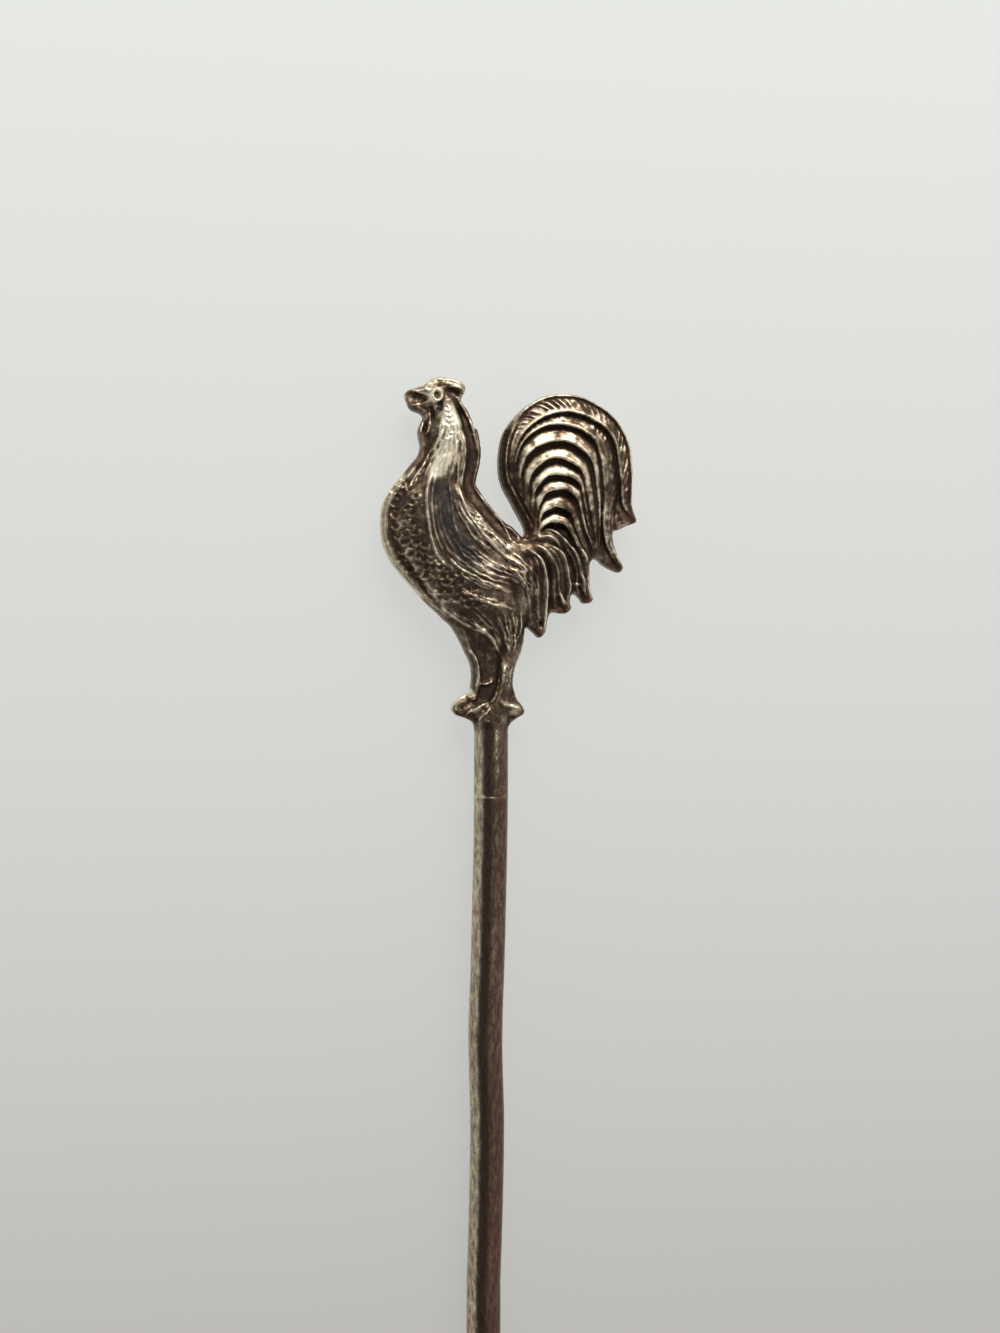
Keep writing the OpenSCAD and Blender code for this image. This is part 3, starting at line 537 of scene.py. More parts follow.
# %% Legs and feet
leg_lines = [
    (0.12, 0.1, [(-2.6, 5.9), (-1.9, 5.4), (-1.2, 5), (-0.5, 4.7), (0, 4.2), (0.4, 3.6), (0.6, 3)]),
    (0.12, 0.1, [(-1.3, 5.5), (-0.9, 5.1), (-0.3, 4.7), (0.1, 4.2), (0.45, 3.6)]),
    (0.1, 0.08, [(-1.6, 4), (-1.15, 3.6), (-0.86, 3.1), (-0.8, 2.5), (-0.88, 1.9), (-1, 1.4)]),
    (0.08, 0.07, [(-0.9, 3.5), (-0.66, 3.1), (-0.58, 2.6), (-0.62, 2)]),
    (0.12, 0.08, [(0.5, 3.4), (0.55, 2.5), (0.5, 2), (0.3, 1.2), (0.1, 0.7)]),
    (0.1, 0.1, [(0.4, 2.9), (0.35, 2.2), (0.2, 1.5), (0.05, 1.1), (-0.2, 0.85)]),
    (0.15, 0.2, [(-0.75, 1.93), (-0.35, 1.9), (0.1, 2.1)]),
    (0.09, 0.14, [(-0.06, 0.93), (-0.5, 0.8), (-0.9, 0.55), (-1.35, 0.3), (-1.55, 0.08)]),
    (0.08, 0.12, [(-0.12, 0.75), (-0.33, 0.35), (-0.6, 0.1), (-0.8, -0.2), (-0.92, -0.5)]),
    (0.2, 0.08, [(0.3, 1.05), (0.6, 0.8), (1.1, 0.7), (1.7, 0.5)]),
    (0.24, -0.06, [(0.4, 0.4), (0.9, 0.2), (1.4, 0.15)]),
    (0.2, -0.14, [(-1.85, 0.5), (-1.5, 0.72), (-1.25, 0.85)]),
    (0.2, -0.14, [(-1.15, 0.15), (-0.75, 0.3), (-0.35, 0.6)]),
    (0.22, -0.07, [(0.95, 1.3), (1.05, 1), (1.3, 0.9)])]
for wide, rise, line in leg_lines:
    stroke(line, wide, rise)
fan_out([(-0.3, 5.9), (0.3, 5), (0.7, 4), (0.8, 3.3)], [(1.6, 6), (1.6, 5), (1.3, 4.2), (1.05, 3.3)], 7,
    0.1, 0.13, 0.03, 21)
fan_out([(-3.2, 6.3), (-2.2, 5.6), (-1.2, 5.1), (-0.3, 4.5), (0.2, 3.9)],
    [(-1.4, 6.3), (-0.6, 5.8), (0, 5.2), (0.4, 4.5), (0.6, 3.8)], 7, 0.1, 0.08, 0.04, 22)
fan_out([(0.4, 3.3), (0.45, 2.3), (0.3, 1.3)], [(1.1, 3.2), (1.05, 2.3), (1.0, 1.4)], 7, 0.08, 0.07, 0.05,
    23)
for u, v in [(0.95, 1.15), (1.15, 1), (0.8, 1.3), (1.2, 1.25), (-1, 0.95), (-0.7, 1.1)]:
    stroke([(u, v), (u + 0.08, v + 0.05)], 0.09, -0.06, 0.01, 4)
print("highest after the strokes:", round(relief.max(), 3))

# %% Scales of the breast, small crescents that point down
scales_rise = np.zeros(U.shape)


def crescent(u, v, size, turn, rise):
    arc = [(u + size * cos(radians(w) + turn), v + 0.85 * size * sin(radians(w) + turn))
        for w in range(190, 351, 40)]
    at, gap, _ = trail(spline(arc, 10), 0.09)
    scales_rise[at] = np.maximum(scales_rise[at], rise * hill(gap / 0.09))
    rubbed[at] = np.maximum(rubbed[at], 3.5 * rise * hill(gap / line_half))
    cell = np.hypot(U[at] - u, (V[at] - v + 0.25 * size)) / size
    scales_rise[at] -= 0.04 * hill(cell)


rng = np.random.default_rng(4)
scale_band = [(-4.75, 12.9, 0.25), (-5, 12, 0.42), (-5, 11, 0.5), (-4.8, 10, 0.55), (-4.35, 9, 0.6),
    (-3.6, 8.1, 0.65), (-2.6, 7.35, 0.6), (-1.4, 6.75, 0.45), (-0.3, 6.35, 0.3)]
band = spline(scale_band, 27)
for i, (u, v, half) in enumerate(band[:-1]):
    du, dv = band[i + 1, :2] - band[i, :2]
    length = np.hypot(du, dv)
    for j in range(-3, 4):
        side = (j + 0.5 * (i % 2)) * 0.46
        if abs(side) < half + 0.12:
            at_u, at_v = u + side * dv / length, v - side * du / length
            crescent(at_u + rng.normal(0, 0.05), at_v + rng.normal(0, 0.05), rng.uniform(0.18, 0.26),
                0.15 + rng.normal(0, 0.35), rng.uniform(0.04, 0.11))
for u, v in [(-2.55, 17), (-2.5, 16.7), (-2.45, 16.4), (-2.5, 16.1), (-2.35, 15.75), (-2.6, 15.4)]:
    crescent(u, v, 0.15, rng.normal(0, 0.25), 0.1)
relief += scales_rise
print("scales rise by", round(scales_rise.max(), 3), "mm at most")

# %% Face: eye, comb, beak and wattle
eye_u, eye_v, skull = -3.1, 17.75, 0.88
r = np.hypot((U - eye_u) / 0.33, (V - eye_v) / 0.41)
relief = np.where(r < 1.5, skull + (relief - skull) * ease(r, 1, 1.5), relief)
ring_rise = 0.1 + 0.05 * (V < eye_v) + 0.03 * (U > eye_u)
relief += soften(ring_rise, 0.06) * hill((r - 0.75) / 0.32)
rubbed = np.maximum(rubbed, 0.9 * hill((r - 0.75) / 0.25))
relief -= 0.12 * ebb(np.hypot((U + 3.15) / 0.15, (V - 17.8) / 0.19), 0.5, 1.1)
face_lines = [
    (0.1, 0.12, [(-3.72, 17.95), (-3.64, 18.3), (-3.35, 18.6), (-3, 18.7), (-2.4, 18.68),
     (-1.9, 18.52), (-1.6, 18.3)]),
    (0.09, 0.1, [(-3, 18.12), (-2.7, 18.28), (-2.1, 18.26), (-1.7, 18.22)]),
    (0.07, -0.06, [(-2.65, 18.54), (-2.3, 18.54), (-1.95, 18.46)]),
    (0.14, -0.14, [(-2.7, 18.05), (-2.2, 18.02), (-1.85, 17.85)]),
    (0.28, -0.14, [(-2.6, 17.9), (-2.25, 17.7), (-1.95, 17.3), (-1.7, 16.9), (-1.5, 16.4)]),
    (0.08, 0.13, [(-4.85, 17.9), (-4.62, 18.06), (-4.4, 18.06), (-4.05, 17.9), (-3.76, 17.88)]),
    (0.09, -0.06, [(-4.05, 18.16), (-3.8, 18.18)]),
    (0.2, -0.07, [(-4.5, 17.75), (-4.25, 17.65), (-3.9, 17.62)]),
    (0.08, 0.12, [(-4.45, 17.32), (-4.3, 17.24), (-4.15, 17.3), (-4.05, 17.42)]),
    (0.07, 0.12, [(-3.95, 16.5), (-4.02, 16.1), (-3.95, 15.7)]),
    (0.07, 0.12, [(-3.5, 16.9), (-3.48, 16.4), (-3.55, 15.9), (-3.75, 15.55)]),
    (0.14, -0.16, [(-3.78, 16.45), (-3.74, 16.05), (-3.78, 15.7)]),
    (0.2, -0.16, [(-2.95, 17.38), (-2.93, 17.1), (-3, 16.85)]),
    (0.13, -0.1, [(-3.4, 17.2), (-3.35, 16.9), (-3.3, 16.4)]),
    (0.1, 0.16, [(-2.35, 18), (-1.9, 17.5), (-1.5, 16.8), (-1.2, 16.2), (-1, 15.4), (-0.9, 14.6)]),
    (0.09, 0.12, [(-0.95, 13.3), (-0.6, 12.2), (0, 11.55), (0.5, 10.85), (0.85, 10.2), (1.1, 9.75),
     (1.4, 9.6), (1.65, 9.75), (1.85, 10.05)])]
for wide, rise, line in face_lines:
    stroke(line, wide, rise)
print("highest with the face:", round(relief.max(), 3))

# %% [markdown]
# ## From the map to the casting
#
# The outline is filled, pulled up to a thin slab and remeshed into small even cubes, so that it is closed
# and has points everywhere. Each point's height is then stretched to the map's height at its place. A grid
# can't carry anything finer than itself, so the map is first softened by about half a cell of the mesh.
# The tallest crests are pressed down gently, which keeps the casting as thick as the part. Decimate then
# drops the points that flat places don't need.

# %% The last touch to the heights
voxel, half_slab, most_triangles = 0.05, 0.25, 196000
cast_skin = np.random.default_rng(6).normal(0, 1, U.shape)
cast_skin = soften(cast_skin, 0.045) / 0.19 + 0.8 * soften(cast_skin, 0.13) / 0.065
relief += 0.004 * np.clip(cast_skin, -2.5, 2.5)
highest, cap_soft = 1.59, 0.25
low_part = highest - cap_soft
relief = np.where(relief > low_part, low_part + cap_soft * np.tanh((relief - low_part) / cap_soft), relief)
smooth_relief = soften(relief, 0.02)
print("heights:", round(smooth_relief.min(), 3), "to", round(smooth_relief.max(), 3))

# %% Helpers for meshes
def sample(field, u, v):
    """The map's value between its cells"""
    x, y = (u - U0) / CELL, (v - V0) / CELL
    i, j = np.clip(x.astype(int), 0, len(us) - 2), np.clip(y.astype(int), 0, len(vs) - 2)
    fx, fy = x - i, y - j
    return ((field[j, i] * (1 - fx) + field[j, i + 1] * fx) * (1 - fy)
        + (field[j + 1, i] * (1 - fx) + field[j + 1, i + 1] * fx) * fy)


def put(name, data):
    """A new object in the scene"""
    piece = bpy.data.objects.new(name, data)
    bpy.context.scene.collection.objects.link(piece)
    return piece


def finish_piece(bm, name, place):
    """Turns a bmesh in millimetres into an object at the origin, with its place in its mesh"""
    mesh = bpy.data.meshes.new(name)
    bm.to_mesh(mesh)
    bm.free()
    mesh.transform(place)
    mesh.polygons.foreach_set("use_smooth", [True] * len(mesh.polygons))
    return put(name, mesh)


def taken(piece):
    """The mesh of an object with its modifiers applied; the object itself goes"""
    mesh = bpy.data.meshes.new_from_object(piece.evaluated_get(bpy.context.evaluated_depsgraph_get()))
    bpy.data.objects.remove(piece)
    return mesh


def points_of(mesh):
    p = np.empty(len(mesh.vertices) * 3)
    mesh.vertices.foreach_get("co", p)
    return p.reshape(-1, 3)


def triangles_in(mesh):
    return sum(len(f.vertices) - 2 for f in mesh.polygons)


print("breast height:", sample(smooth_relief, np.array([-5.0]), np.array([10.0])).round(3))

# %% The slab
bm = bmesh.new()
loop = [bm.verts.new((u, v, -half_slab)) for u, v in outline[:-1]]
face = bm.faces.new(loop)
lifted = bmesh.ops.extrude_face_region(bm, geom=[face])["geom"]
top = [g for g in lifted if isinstance(g, bmesh.types.BMVert)]
bmesh.ops.translate(bm, vec=(0, 0, 2 * half_slab), verts=top)
bmesh.ops.recalc_face_normals(bm, faces=bm.faces)
bmesh.ops.triangulate(bm, faces=[f for f in bm.faces if len(f.verts) > 4])
slab = finish_piece(bm, "slab", Matrix.Identity(4))
remesh = slab.modifiers.new("even", "REMESH")
remesh.mode, remesh.voxel_size, remesh.adaptivity = "VOXEL", voxel, 0
cast_mesh = taken(slab)
print("slab:", len(cast_mesh.vertices), "points")

# %% The slab takes the heights, and flat places lose points
p = points_of(cast_mesh)
p[:, 2] = np.clip(p[:, 2] / half_slab, -1, 1) * sample(smooth_relief, p[:, 0], p[:, 1])
cast_mesh.vertices.foreach_set("co", p.ravel())
fine = put("fine", cast_mesh)
triangles = triangles_in(cast_mesh)
fewer = fine.modifiers.new("fewer", "DECIMATE")
fewer.ratio = min(most_triangles / triangles, 1)
cast_mesh = taken(fine)
p = points_of(cast_mesh)
print("casting:", triangles, "triangles, thinned to", triangles_in(cast_mesh))

# %% [markdown]
# ## Patina
#
# Dark oxide stays in the hollows, and hands rub the crests bright. The map knows both: what stands above
# its own blur is a crest, and what lies below is a hollow. The shades, the rubbed lines and a few listed
# patches are added. Three numbers go on each point of the mesh as one colour attribute: how worn it is,
# how cold and dark, as on the wing, and how red, as under the feather tips.
# Some of the shades and patches are painted light as well: painted highlights on the tail's arch tops, the
# hackle, the mound's right lip and the left toe, a painted reflection on the side walls, and painted shadow
# under the tail's crests and under the comb, with a painted dark band down the mound.

# %% How worn each place is, with the painted light that the shades carry
border = ease(edge, 0.03, 0.13)
level = relief * border + 0.6 * (1 - border)
stands_fine = level - soften(level, 0.09)
stands_wide = level - soften(level, 0.35)
ground, fine_gain, wide_gain, rub_gain = 0.37, 2.4, 0.8, 0.3
wear_and_painted_light = ground + fine_gain * stands_fine + wide_gain * stands_wide + rub_gain * rubbed + soften(oxide_and_painted_light_map, 0.02)
for reach, share in ((0.3, 0.045), (0.1, 0.045), (0.045, 0.04)):
    blotch = soften(np.random.default_rng(9).normal(0, 1, U.shape), reach)
    wear_and_painted_light += share * (1 + 0.7 * tail_side) * blotch / blotch.std()
print("worn, on average:", round(float(wear_and_painted_light.mean()), 3))

# %% Patches that hands rub, patches that they don't reach, and painted highlights, reflection and shadow
def patch(points, reach, soft):
    """1 near a curve, falling to 0 at its reach"""
    share = np.zeros(U.shape)
    at, gap, _ = trail(spline(points, 10), reach)
    share[at] = ebb(gap, reach * (1 - soft), reach)
    return share


def highest_of(*rows):
    """The highest of several patches at each place"""
    return np.maximum.reduce([patch(*row) for row in rows])


# Painted reflection: the side walls of the breast, of the tail's top and right, of the head and of the rear
# leg are painted pale, as if they mirrored the bright surroundings.
painted_wall_reflection = highest_of(
    ([(-5.2, 13.2), (-6.1, 11.5), (-6.1, 10), (-5.2, 7.9), (-4.2, 6.9)], 0.6, 0.6),
    ([(0.9, 16.4), (2, 17.5), (4, 18.1), (6, 17.4), (7.6, 15.6), (8, 13), (7.9, 11.6)], 0.5, 0.5),
    ([(-4.8, 18), (-3.7, 18.5), (-2.7, 18.9), (-1.5, 18.3)], 0.4, 0.3),
    ([(1.7, 3.8), (1.3, 2.6)], 0.4, 0.5))
# Every side wall gets one level, with the painted reflection added on top, a little darker at the tail's
# root.
wall = 0.42 + 0.36 * painted_wall_reflection - 0.08 * tail_side * ebb(U, 1, 2.2)
wear_and_painted_light = wear_and_painted_light * border + wall * (1 - border)
wear_and_painted_light += 0.16 * ease(edge, 0.04, 0.09) * ebb(edge, 0.15, 0.21) * (V > 6)
wing = patch([(-2.9, 12.4), (-2.7, 11.2), (-2.3, 10.1), (-1.7, 9.3), (-1.3, 8.8)], 0.9, 0.7)
ear = patch([(-2.93, 17.35), (-2.95, 16.95)], 0.22, 0.5)
face = highest_of(([(-3.6, 18), (-2.9, 17.8)], 0.7, 0.7), ([(-3.2, 18.6), (-1.7, 18.4)], 0.45, 0.5))
touches = [
    # The hackle and the crest of the neck are rubbed bright, and also carry a painted highlight where they
    # face the light.
    (0.68, patch([(-2.4, 16.8), (-2.4, 15.8), (-2.6, 14.6), (-3.1, 13.6)], 0.75, 0.8)),  # hackle
    (0.26, patch([(-2.42, 16.8), (-2.45, 15.8), (-2.6, 14.8)], 0.35, 0.8)),  # crest of the neck
    (0.08, patch([(-1.7, 12), (-1, 10.9), (-0.2, 10), (0.8, 9.1), (1.5, 8.5)], 0.7, 0.8)),  # saddle
    (-0.2, wing),  # and next its edge
    (0.14, patch([(-3.2, 14), (-3.5, 13.2), (-3.62, 12.2), (-3.55, 11), (-3.35, 9.9)], 0.25, 0.6)),
    (-0.18, patch([(-4.7, 11.8), (-4.6, 10), (-4, 8.8), (-2.8, 7.6), (-1.5, 6.9)], 0.8, 0.6)),  # scales
    (-0.12, patch([(-0.4, 4), (-0.2, 3.2), (-0.15, 2.2), (-0.2, 1.3)], 0.6, 0.7)),  # web
    (0.16, face),
    (0.1, patch([(-3.55, 17.75), (-3.45, 17.35)], 0.25, 0.7)),  # cheek
    (0.14, patch([(-4.55, 17.65), (-4.2, 17.55)], 0.22, 0.6)),  # mouth
    # The right lip of the mound is painted lighter on its top face: a painted highlight.
    (0.15, patch([(0.7, 0.85), (1.2, 0.75), (1.6, 0.6)], 0.25, 0.7)),  # right lip of the mound
    (-0.2, patch([(0.9, 3.9), (0.8, 2.8), (0.7, 1.6)], 0.7, 0.6)),  # rear leg
    (-0.2, patch([(-1.2, 5.8), (0.2, 5.2), (1, 4.6)], 0.9, 0.6)),  # thigh
    (-0.17, patch([(-1.6, 4.2), (-1, 3), (-0.95, 1.7)], 0.4, 0.4)),  # front leg
    # Darker under the comb, a painted shadow of the comb, and on down along the nape.
    (-0.25, patch([(-2.6, 17.95), (-2.25, 17.75), (-1.95, 17.3), (-1.65, 16.8)], 0.25, 0.5))]  # nape
wear_and_painted_light += sum(amount * share for amount, share in touches) * border
# A painted highlight on the upper left edge of the left toe.
painted_toe_highlight = patch([(-2.25, 0.5), (-2.05, 0.98), (-1.65, 1.3), (-1.3, 1.45)], 0.34, 0.5)
# A painted dark band down the middle of the mound, carrying the stub's dark reflection up onto it.
column = patch([(0.35, 1.2), (0.2, 0.4), (0, -0.4), (-0.05, -0.9)], 0.5, 0.7)
under_beak = patch([(-4.5, 17.2), (-4.1, 17), (-3.8, 16.9)], 0.28, 0.5)
wear_and_painted_light += 0.45 * painted_toe_highlight - 0.12 * column - 0.25 * ear - 0.16 * under_beak
feather_tips = [(8, 11), (7.2, 8.3), (5.5, 6.5), (4.3, 5.95), (2.75, 4.6)]
red = highest_of(*(([(u - 0.5, v + 0.25), (u - 0.15, v)], 0.4, 0.8) for u, v in feather_tips))
wear_and_painted_light = np.maximum(wear_and_painted_light + 0.04 * tail_side * border, 0.14 * tail_side) - 0.15 * red
print("patches set by eye:", len(touches) + 4)

# %% The three numbers on the casting
def paint(mesh, wear_and_painted_light, cold, red):
    """Writes the patina and the painted light on each point of a mesh, as one colour"""
    values = np.stack(np.broadcast_arrays(wear_and_painted_light, cold, red, 1.0), 1)
    colour = mesh.attributes.new("patina_and_painted_light", "FLOAT_COLOR", "POINT")
    colour.data.foreach_set("color", np.clip(values, 0, 1).astype(np.float32).ravel())


wear_painted_light_cold_red = [sample(f, p[:, 0], p[:, 1]) for f in (np.clip(wear_and_painted_light, 0, 1), np.maximum(wing, ear), red)]
paint(cast_mesh, *wear_painted_light_cold_red)
cast_mesh.transform(rest @ figure_scale)
cast_mesh.polygons.foreach_set("use_smooth", [True] * len(cast_mesh.polygons))
rooster = put("rooster_casting", cast_mesh)
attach(rooster, "root")
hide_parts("rooster")
levels = np.percentile(wear_painted_light_cold_red[0], [5, 25, 50, 75, 95])
print("worn, from hollow to crest:", [round(float(x), 2) for x in levels])

# %% [markdown]
# ## Stub and wire
#
# The round stub under the mound belongs to the casting, and the wire is soldered to it. A circle is
# extruded ring by ring, and each ring is then moved to the wire's centre line, which was bent a little by
# hand. Small pits, flats and the ring of the solder are moves of single points.

# %% A round rod with rings where they are needed
stem_l, bent_l, point_l, tip_d, smooth_r = 65.0, 27.0, 12.0, 0.3, 0.996 * wire_r
sides = 96
bend_line = spline([(0, 0), (0.1, 0.12), (0.45, 0.34), (0.78, 0.5), (0.5, 0.67), (0.66, 0.84), (1, 1)], 60)


def rod(stations, radius_at, middle_at):
    """A closed round rod down -Y through the stations, with its radius and its middle at each"""
    bm = bmesh.new()
    ring = bmesh.ops.create_circle(bm, segments=sides, radius=1, cap_ends=True)["verts"]
    bmesh.ops.rotate(bm, verts=ring, matrix=Matrix.Rotation(pi / 2, 3, "X"))
    edges = list({e for v in ring for e in v.link_edges})
    rings = [ring]
    for _ in stations[1:]:
        new = bmesh.ops.extrude_edge_only(bm, edges=edges)["geom"]
        ring = [g for g in new if isinstance(g, bmesh.types.BMVert)]
        new_edges = [g for g in new if isinstance(g, bmesh.types.BMEdge)]
        edges = [e for e in new_edges if e.verts[0] in ring and e.verts[1] in ring]
        rings.append(ring)
    bmesh.ops.contextual_create(bm, geom=rings[-1])
    for v, ring in zip(stations, rings):
        for vert in ring:
            x, z = vert.co.x, vert.co.z
            angle = np.arctan2(z, x)
            r = radius_at(v, angle)
            vert.co = (middle_at(v) + r * x, v, r * z)
    bmesh.ops.recalc_face_normals(bm, faces=bm.faces)
    return bm


print("bend of the wire:", len(bend_line), "points")

# %% Pits, flats and the ring of the solder
pit_rng = np.random.default_rng(31)
pits = np.column_stack([pit_rng.uniform(-42, 0, 500), pit_rng.uniform(-pi, pi, 500),
    pit_rng.uniform(0.05, 0.12, 500), pit_rng.uniform(0.003, 0.014, 500)])
lumps = [(0.8, -4.35, 0.09, -0.05), (-0.62, -4.35, 0.08, -0.04), (-0.65, -4.6, 0.08, -0.03),
    (0.3, -4.42, 0.2, -0.006)]


def uneven(v, angle):
    """Flats and waves of hand-drawn wire, its pits and the solder's ring"""
    r = 0.004 * sin(0.9 * v + 2 * sin(0.31 * v)) * cos(2 * angle + 0.2 * v)
    r += 0.001 * sin(5.1 * v) * cos(3 * angle)
    near = pits[np.abs(pits[:, 0] - v) < 0.2]
    turn = (near[:, 1] - angle + pi) % (2 * pi) - pi
    gap = np.hypot(near[:, 0] - v, wire_r * turn) / near[:, 2]
    r -= float((near[:, 3] * hill(gap)).sum())
    seam = abs(v + stub_l) / 0.13
    r -= 0.004 * max(0, 1 - seam ** 2) * (1 + 0.6 * sin(5 * angle))
    if sin(angle) > 0:
        for u, pv, size, rise in lumps:
            r += rise * max(0, 1 - ((wire_r * cos(angle) - u) ** 2 + (v - pv) ** 2) / size ** 2)
    return r


def stub_radius(v, angle):
    return smooth_r + 0.05 * ease(v, -0.8, -0.2) - 0.5 * ease(v, -0.2, 0.5) + uneven(v, angle)


def wire_radius(v, angle):
    taper = max(0, -v - stub_l - (stem_l - point_l)) / point_l
    return (smooth_r + uneven(v, angle)) * (1 - taper) + tip_d / 2 * taper


def wire_middle(v):
    way = min((-v - stub_l) / bent_l, 1)
    return -bend * float(np.interp(way, bend_line[:, 1], bend_line[:, 0]))


print("pits:", len(pits), "lumps of solder:", len(lumps))

# %% Stub and wire, with their patina and painted light
stub = finish_piece(rod(np.arange(0.5, -stub_l - 0.001, -0.1), stub_radius, lambda v: 0), "rooster_stub",
    rest)
close_until, ring_gap = -36, 0.12
near_rings = np.arange(-stub_l, close_until, -ring_gap)
far_rings = np.linspace(close_until, -stub_l - stem_l, 80)
wire = finish_piece(rod(np.concatenate([near_rings, far_rings]), wire_radius, wire_middle), "wire", rest)
for piece, node, slot in ((stub, "rooster", "cast_silver"), (wire, "stem", "drawn_silver")):
    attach(piece, "root")
    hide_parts(node)
    q = points_of(piece.data)
    run, out = (q[:, 1] - foot_y) / MM, (q[:, 0] - foot_x) / MM
    out -= np.array([wire_middle(v) for v in run])
    left = np.clip(-out / wire_r, 0, 1)
    seam_ring = np.exp(-((run + stub_l) / 0.07) ** 2)
    stain = np.exp(-((out - 0.4) / 0.35) ** 2 - ((run + 4.65) / 0.3) ** 2)
    stain += 0.5 * ease(-run, 14, 24) * ease(out, -0.3, 0.1)
    solder = np.exp(-((out - 0.25) / 0.25) ** 2 - ((run + 4.38) / 0.12) ** 2)
    # A painted highlight: a thin pale streak just right of the middle of the stub, broken into specks.
    painted_highlight_streak = np.exp(-((out - 0.2) / 0.12) ** 2) * ease(-run, 0.2, 0.8) * ebb(-run, 2.8, 3.6)
    at_sides = ease(np.abs(out) / wire_r, 0.35, 0.6)
    # A painted reflection: the left side of the stub's top, where it meets the mound, is painted pale.
    painted_reflection_stripe = ease(left, 0.25, 0.6) * ebb(run, -0.9, -0.4)
    painted_highlight_streak *= 2 * np.random.default_rng(12).uniform(0, 1, len(q)) ** 1.5
    # The solder seam is darker across the middle, its dark joint, and paler towards the rod's two sides, a
    # painted reflection.
    wire_wear_and_painted_light = 0.3 + 0.3 * painted_reflection_stripe + seam_ring * (0.4 * at_sides - 0.2)
    wire_wear_and_painted_light += 0.15 * solder + 0.3 * painted_highlight_streak - 0.1 * stain
    brown = np.clip(stain + 0.25 * ease(out, 0, 0.3), 0, 1)
    paint(piece.data, wire_wear_and_painted_light, 0, brown)
    print(piece.name, len(piece.data.polygons), "faces")


# %% [markdown]
# ## Finishes
#
# Casting and wire are silver under the same oxide, so one recipe makes both. It reads the attribute and
# breaks it up with a noise of a few tenths of a millimetre, which on the wire is drawn out along the pick.
# A ramp turns the level into colour. Oxide isn't a metal, so the darkest places are only partly metallic,
# and rougher. The brightest crests are scratched matt by hands, so they scatter part of the light like
# paint.

# %% Node helpers
def material(name):
    m = bpy.data.materials.new(name)
    m.use_nodes = True
    return m, m.node_tree, m.node_tree.nodes["Principled BSDF"]


def add(tree, kind, inputs=(), **settings):
    """A node with its settings; each input is a value or another node's output"""
    node = tree.nodes.new(kind)
    for key, value in settings.items():
        setattr(node, key, value)
    for key, value in dict(inputs).items():
        if isinstance(value, bpy.types.NodeSocket):
            tree.links.new(value, node.inputs[key])
        else:
            node.inputs[key].default_value = value
    return node


def ramp(tree, factor, stops):
    """A colour ramp through [place, (r, g, b)] stops, or [place, grey]"""
    node = add(tree, "ShaderNodeValToRGB", {"Fac": factor})
    elements = node.color_ramp.elements
    while len(elements) < len(stops):
        elements.new(0.5)
    for element, (place, colour) in zip(elements, stops):
        element.position, element.color = place, (*np.broadcast_to(colour, 3), 1)
    return node.outputs["Color"]


def blend_colour(tree, factor, a, b):
    return add(tree, "ShaderNodeMix", {0: factor, 6: a, 7: b}, data_type="RGBA").outputs[2]


def sum_of(tree, a, b, factor=1.0):
    """a times factor plus b"""
    return add(tree, "ShaderNodeMath", {0: a, 1: factor, 2: b}, operation="MULTIPLY_ADD").outputs[0]


def noise(tree, place, scale, detail):
    node = add(tree, "ShaderNodeTexNoise", {"Vector": place, "Scale": scale, "Detail": detail})
    return node.outputs["Fac"]


print("helpers for nodes: add, ramp, blend_colour, sum_of, noise")

# %% Cast silver under its patina
silver_stops = [(0.0, (0.034, 0.018, 0.01)), (0.25, (0.082, 0.049, 0.031)), (0.5, (0.27, 0.2, 0.134)),
    (0.75, (0.66, 0.56, 0.41)), (1.0, (1.0, 0.9, 0.69))]


def silver(name, scale, stretch, spread, bump_share, rough):
    """Silver under a patina; the noise has its scale and is drawn out along the pick by stretch"""
    m, tree, shader = material(name)
    place = add(tree, "ShaderNodeTexCoord").outputs["Object"]
    drawn = add(tree, "ShaderNodeMapping", {"Vector": place, "Scale": (1, stretch, 1)}).outputs["Vector"]
    patina_and_painted_light = add(tree, "ShaderNodeAttribute", attribute_name="patina_and_painted_light").outputs["Color"]
    wear_and_painted_light_at, cold_at, red_at = add(tree, "ShaderNodeSeparateColor", {"Color": patina_and_painted_light}).outputs
    grain, fine = noise(tree, drawn, scale, 5.0), noise(tree, place, 3 * scale, 2.0)
    level = sum_of(tree, grain, sum_of(tree, fine, wear_and_painted_light_at, 0.5 * spread), spread)
    level = sum_of(tree, level, -0.75 * spread)
    cold = ramp(tree, level, [(0.0, (0.014, 0.015, 0.016)), (0.5, (0.1, 0.1, 0.095)),
        (1.0, (0.6, 0.6, 0.56))])
    warm = ramp(tree, level, [(0.0, (0.035, 0.01, 0.007)), (0.6, (0.24, 0.11, 0.075)),
        (1.0, (0.6, 0.42, 0.34))])
    colour = blend_colour(tree, sum_of(tree, cold_at, 0.0, 0.6), ramp(tree, level, silver_stops), cold)
    colour = blend_colour(tree, sum_of(tree, red_at, 0.0, 0.7), colour, warm)
    tree.links.new(colour, shader.inputs["Base Color"])
    tree.links.new(sum_of(tree, level, rough, -0.22), shader.inputs["Roughness"])
    metal_stops = [(0.0, 0.4), (0.45, 1), (0.75, 1), (1.0, 0.55)]
    tree.links.new(ramp(tree, level, metal_stops), shader.inputs["Metallic"])
    bump = add(tree, "ShaderNodeBump", {"Height": sum_of(tree, fine, grain, 0.6), "Strength": bump_share,
        "Distance": 0.00003})
    tree.links.new(bump.outputs["Normal"], shader.inputs["Normal"])
    return m


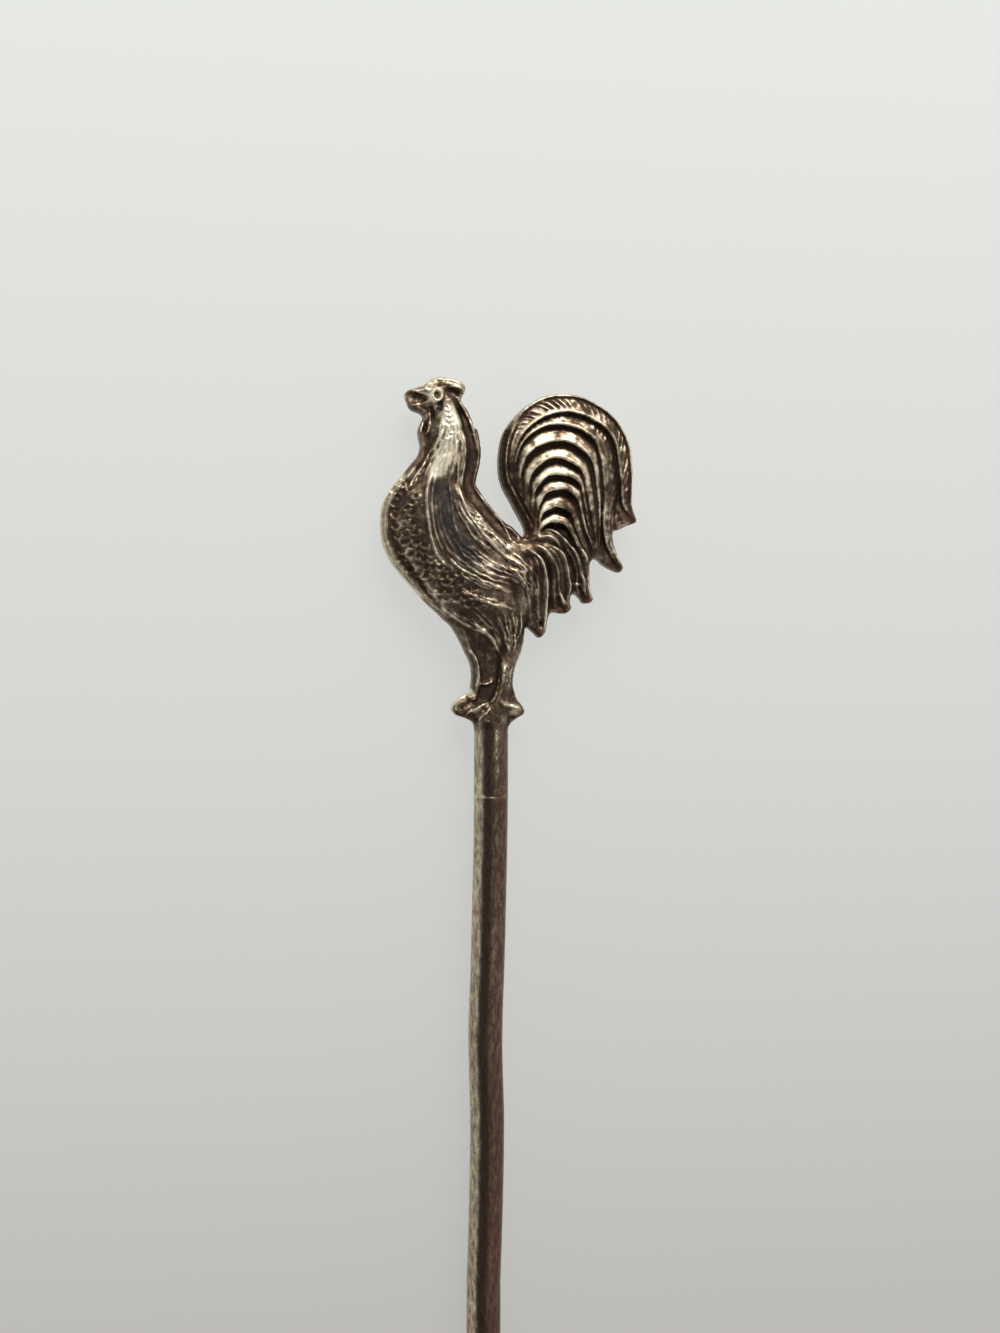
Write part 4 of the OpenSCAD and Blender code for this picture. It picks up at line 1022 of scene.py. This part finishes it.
rooster.data.materials.append(silver("oxidised cast silver", 6000.0, 1.0, 0.45, 0.3, 0.53))
wire_silver = silver("tarnished silver wire", 5000.0, 0.35, 0.8, 0.25, 0.4)
for piece in (stub, wire):
    piece.data.materials.append(wire_silver)
print("finishes:", [m.name for m in bpy.data.materials if m.users])

# %% [markdown]
# ## Table, light and camera
#
# The pick was photographed upright before a pale wall. It can't stand, so it lies on a pale table, and the
# camera looks down on it. The table also glows a little in its own colour, which keeps it as even as the
# wall was. Its colour is painted lighter towards the head and darker towards the foot, a painted fall-off
# of the light. A hard lamp would throw sharp shadows, so one large soft panel beyond the head lights the
# pick.
# The sky is pale on the right and low down, and dark overhead, and this darkness draws the stripe along
# the wire.

# %% Table
photo_h, pixels_per_mm = 1333, 18
middle_of_photo = (0.5, 2.86, 0)
centre = rest @ Vector(middle_of_photo)
view_w = photo_h / pixels_per_mm * MM
bm = bmesh.new()
half_table, hair = 0.6, 0.00001
bmesh.ops.create_grid(bm, x_segments=2, y_segments=2, size=half_table)
bmesh.ops.translate(bm, vec=(0, 0, cad_box[0].z - hair), verts=bm.verts)
tabletop = finish_piece(bm, "tabletop", Matrix.Identity(4))
m, tree, shader = material("pale table")
table_place = add(tree, "ShaderNodeTexCoord").outputs["Object"]
away = add(tree, "ShaderNodeSeparateXYZ", {"Vector": table_place}).outputs["Y"]
height = sum_of(tree, away, 0.5 - centre.y / view_w, 1 / view_w)
# The table's colour is painted lighter towards the head and darker towards the foot: a painted fall-off of
# the light.
wall = ramp(tree, height, [(0.0, (0.54, 0.53, 0.505)), (0.45, (0.7, 0.71, 0.685)),
    (1.0, (0.82, 0.84, 0.81))])
tree.links.new(wall, shader.inputs["Base Color"])
shader.inputs["Roughness"].default_value = 0.9
path = add(tree, "ShaderNodeLightPath").outputs
seen = sum_of(tree, path["Is Camera Ray"], sum_of(tree, path["Is Glossy Ray"], path["Is Transmission Ray"]))
glow = add(tree, "ShaderNodeEmission", {"Color": wall, "Strength": 1.0})
share = sum_of(tree, seen, 0.0, 0.8)
both = add(tree, "ShaderNodeMixShader", {"Fac": share, 1: shader.outputs["BSDF"],
    2: glow.outputs["Emission"]})
tree.links.new(both.outputs["Shader"], tree.nodes["Material Output"].inputs["Surface"])
tabletop.data.materials.append(m)
print("table at", round(cad_box[0].z, 6), "view", round(view_w, 4), "m wide")

# %% Light
lamp = bpy.data.lights.new("head_panel", "AREA")
lamp.shape, lamp.size, lamp.energy, lamp.color = "DISK", 0.36, 1.25, (1, 0.96, 0.91)
panel, from_centre = put("head_panel", lamp), Vector((0.04, 0.32, 0.22))
panel.location = centre + from_centre
panel.rotation_euler = (-from_centre).to_track_quat("-Z", "Y").to_euler()
world = bpy.data.worlds.new("soft sky")
bpy.context.scene.world = world
world.use_nodes = True
sky = world.node_tree
where = add(sky, "ShaderNodeSeparateXYZ", {"Vector": add(sky,
    "ShaderNodeTexCoord").outputs["Generated"]}).outputs
from_right = ramp(sky, sum_of(sky, where["X"], 0.5, 0.5), [(0.54, 0), (0.63, 1)])
from_head = ramp(sky, where["Y"], [(0.1, 0), (0.6, 1)])
from_low = ramp(sky, where["Z"], [(0.36, 1), (0.5, 0)])
open_sky = sum_of(sky, from_right, sum_of(sky, from_head, from_low))
light = ramp(sky, open_sky, [(0.0, (0.06, 0.062, 0.068)), (1.0, (0.62, 0.63, 0.64))])
sky.links.new(light, sky.nodes["Background"].inputs["Color"])

# %% Camera
away_from_pick, from_left, sensor_w = 0.1, radians(8), 36
camera = put("camera", bpy.data.cameras.new("camera"))
camera.data.sensor_width = sensor_w
camera.data.lens = sensor_w * away_from_pick / view_w
camera.data.clip_start, camera.data.clip_end = 0.005, 5
camera.location = centre + away_from_pick * Vector((-sin(from_left), 0, cos(from_left)))
camera.rotation_euler = (0, -from_left, 0)
bpy.context.scene.camera = camera
bpy.context.scene.view_settings.view_transform = "Standard"
print("lens:", round(camera.data.lens, 2), "mm, camera at", [round(c, 4) for c in camera.location])
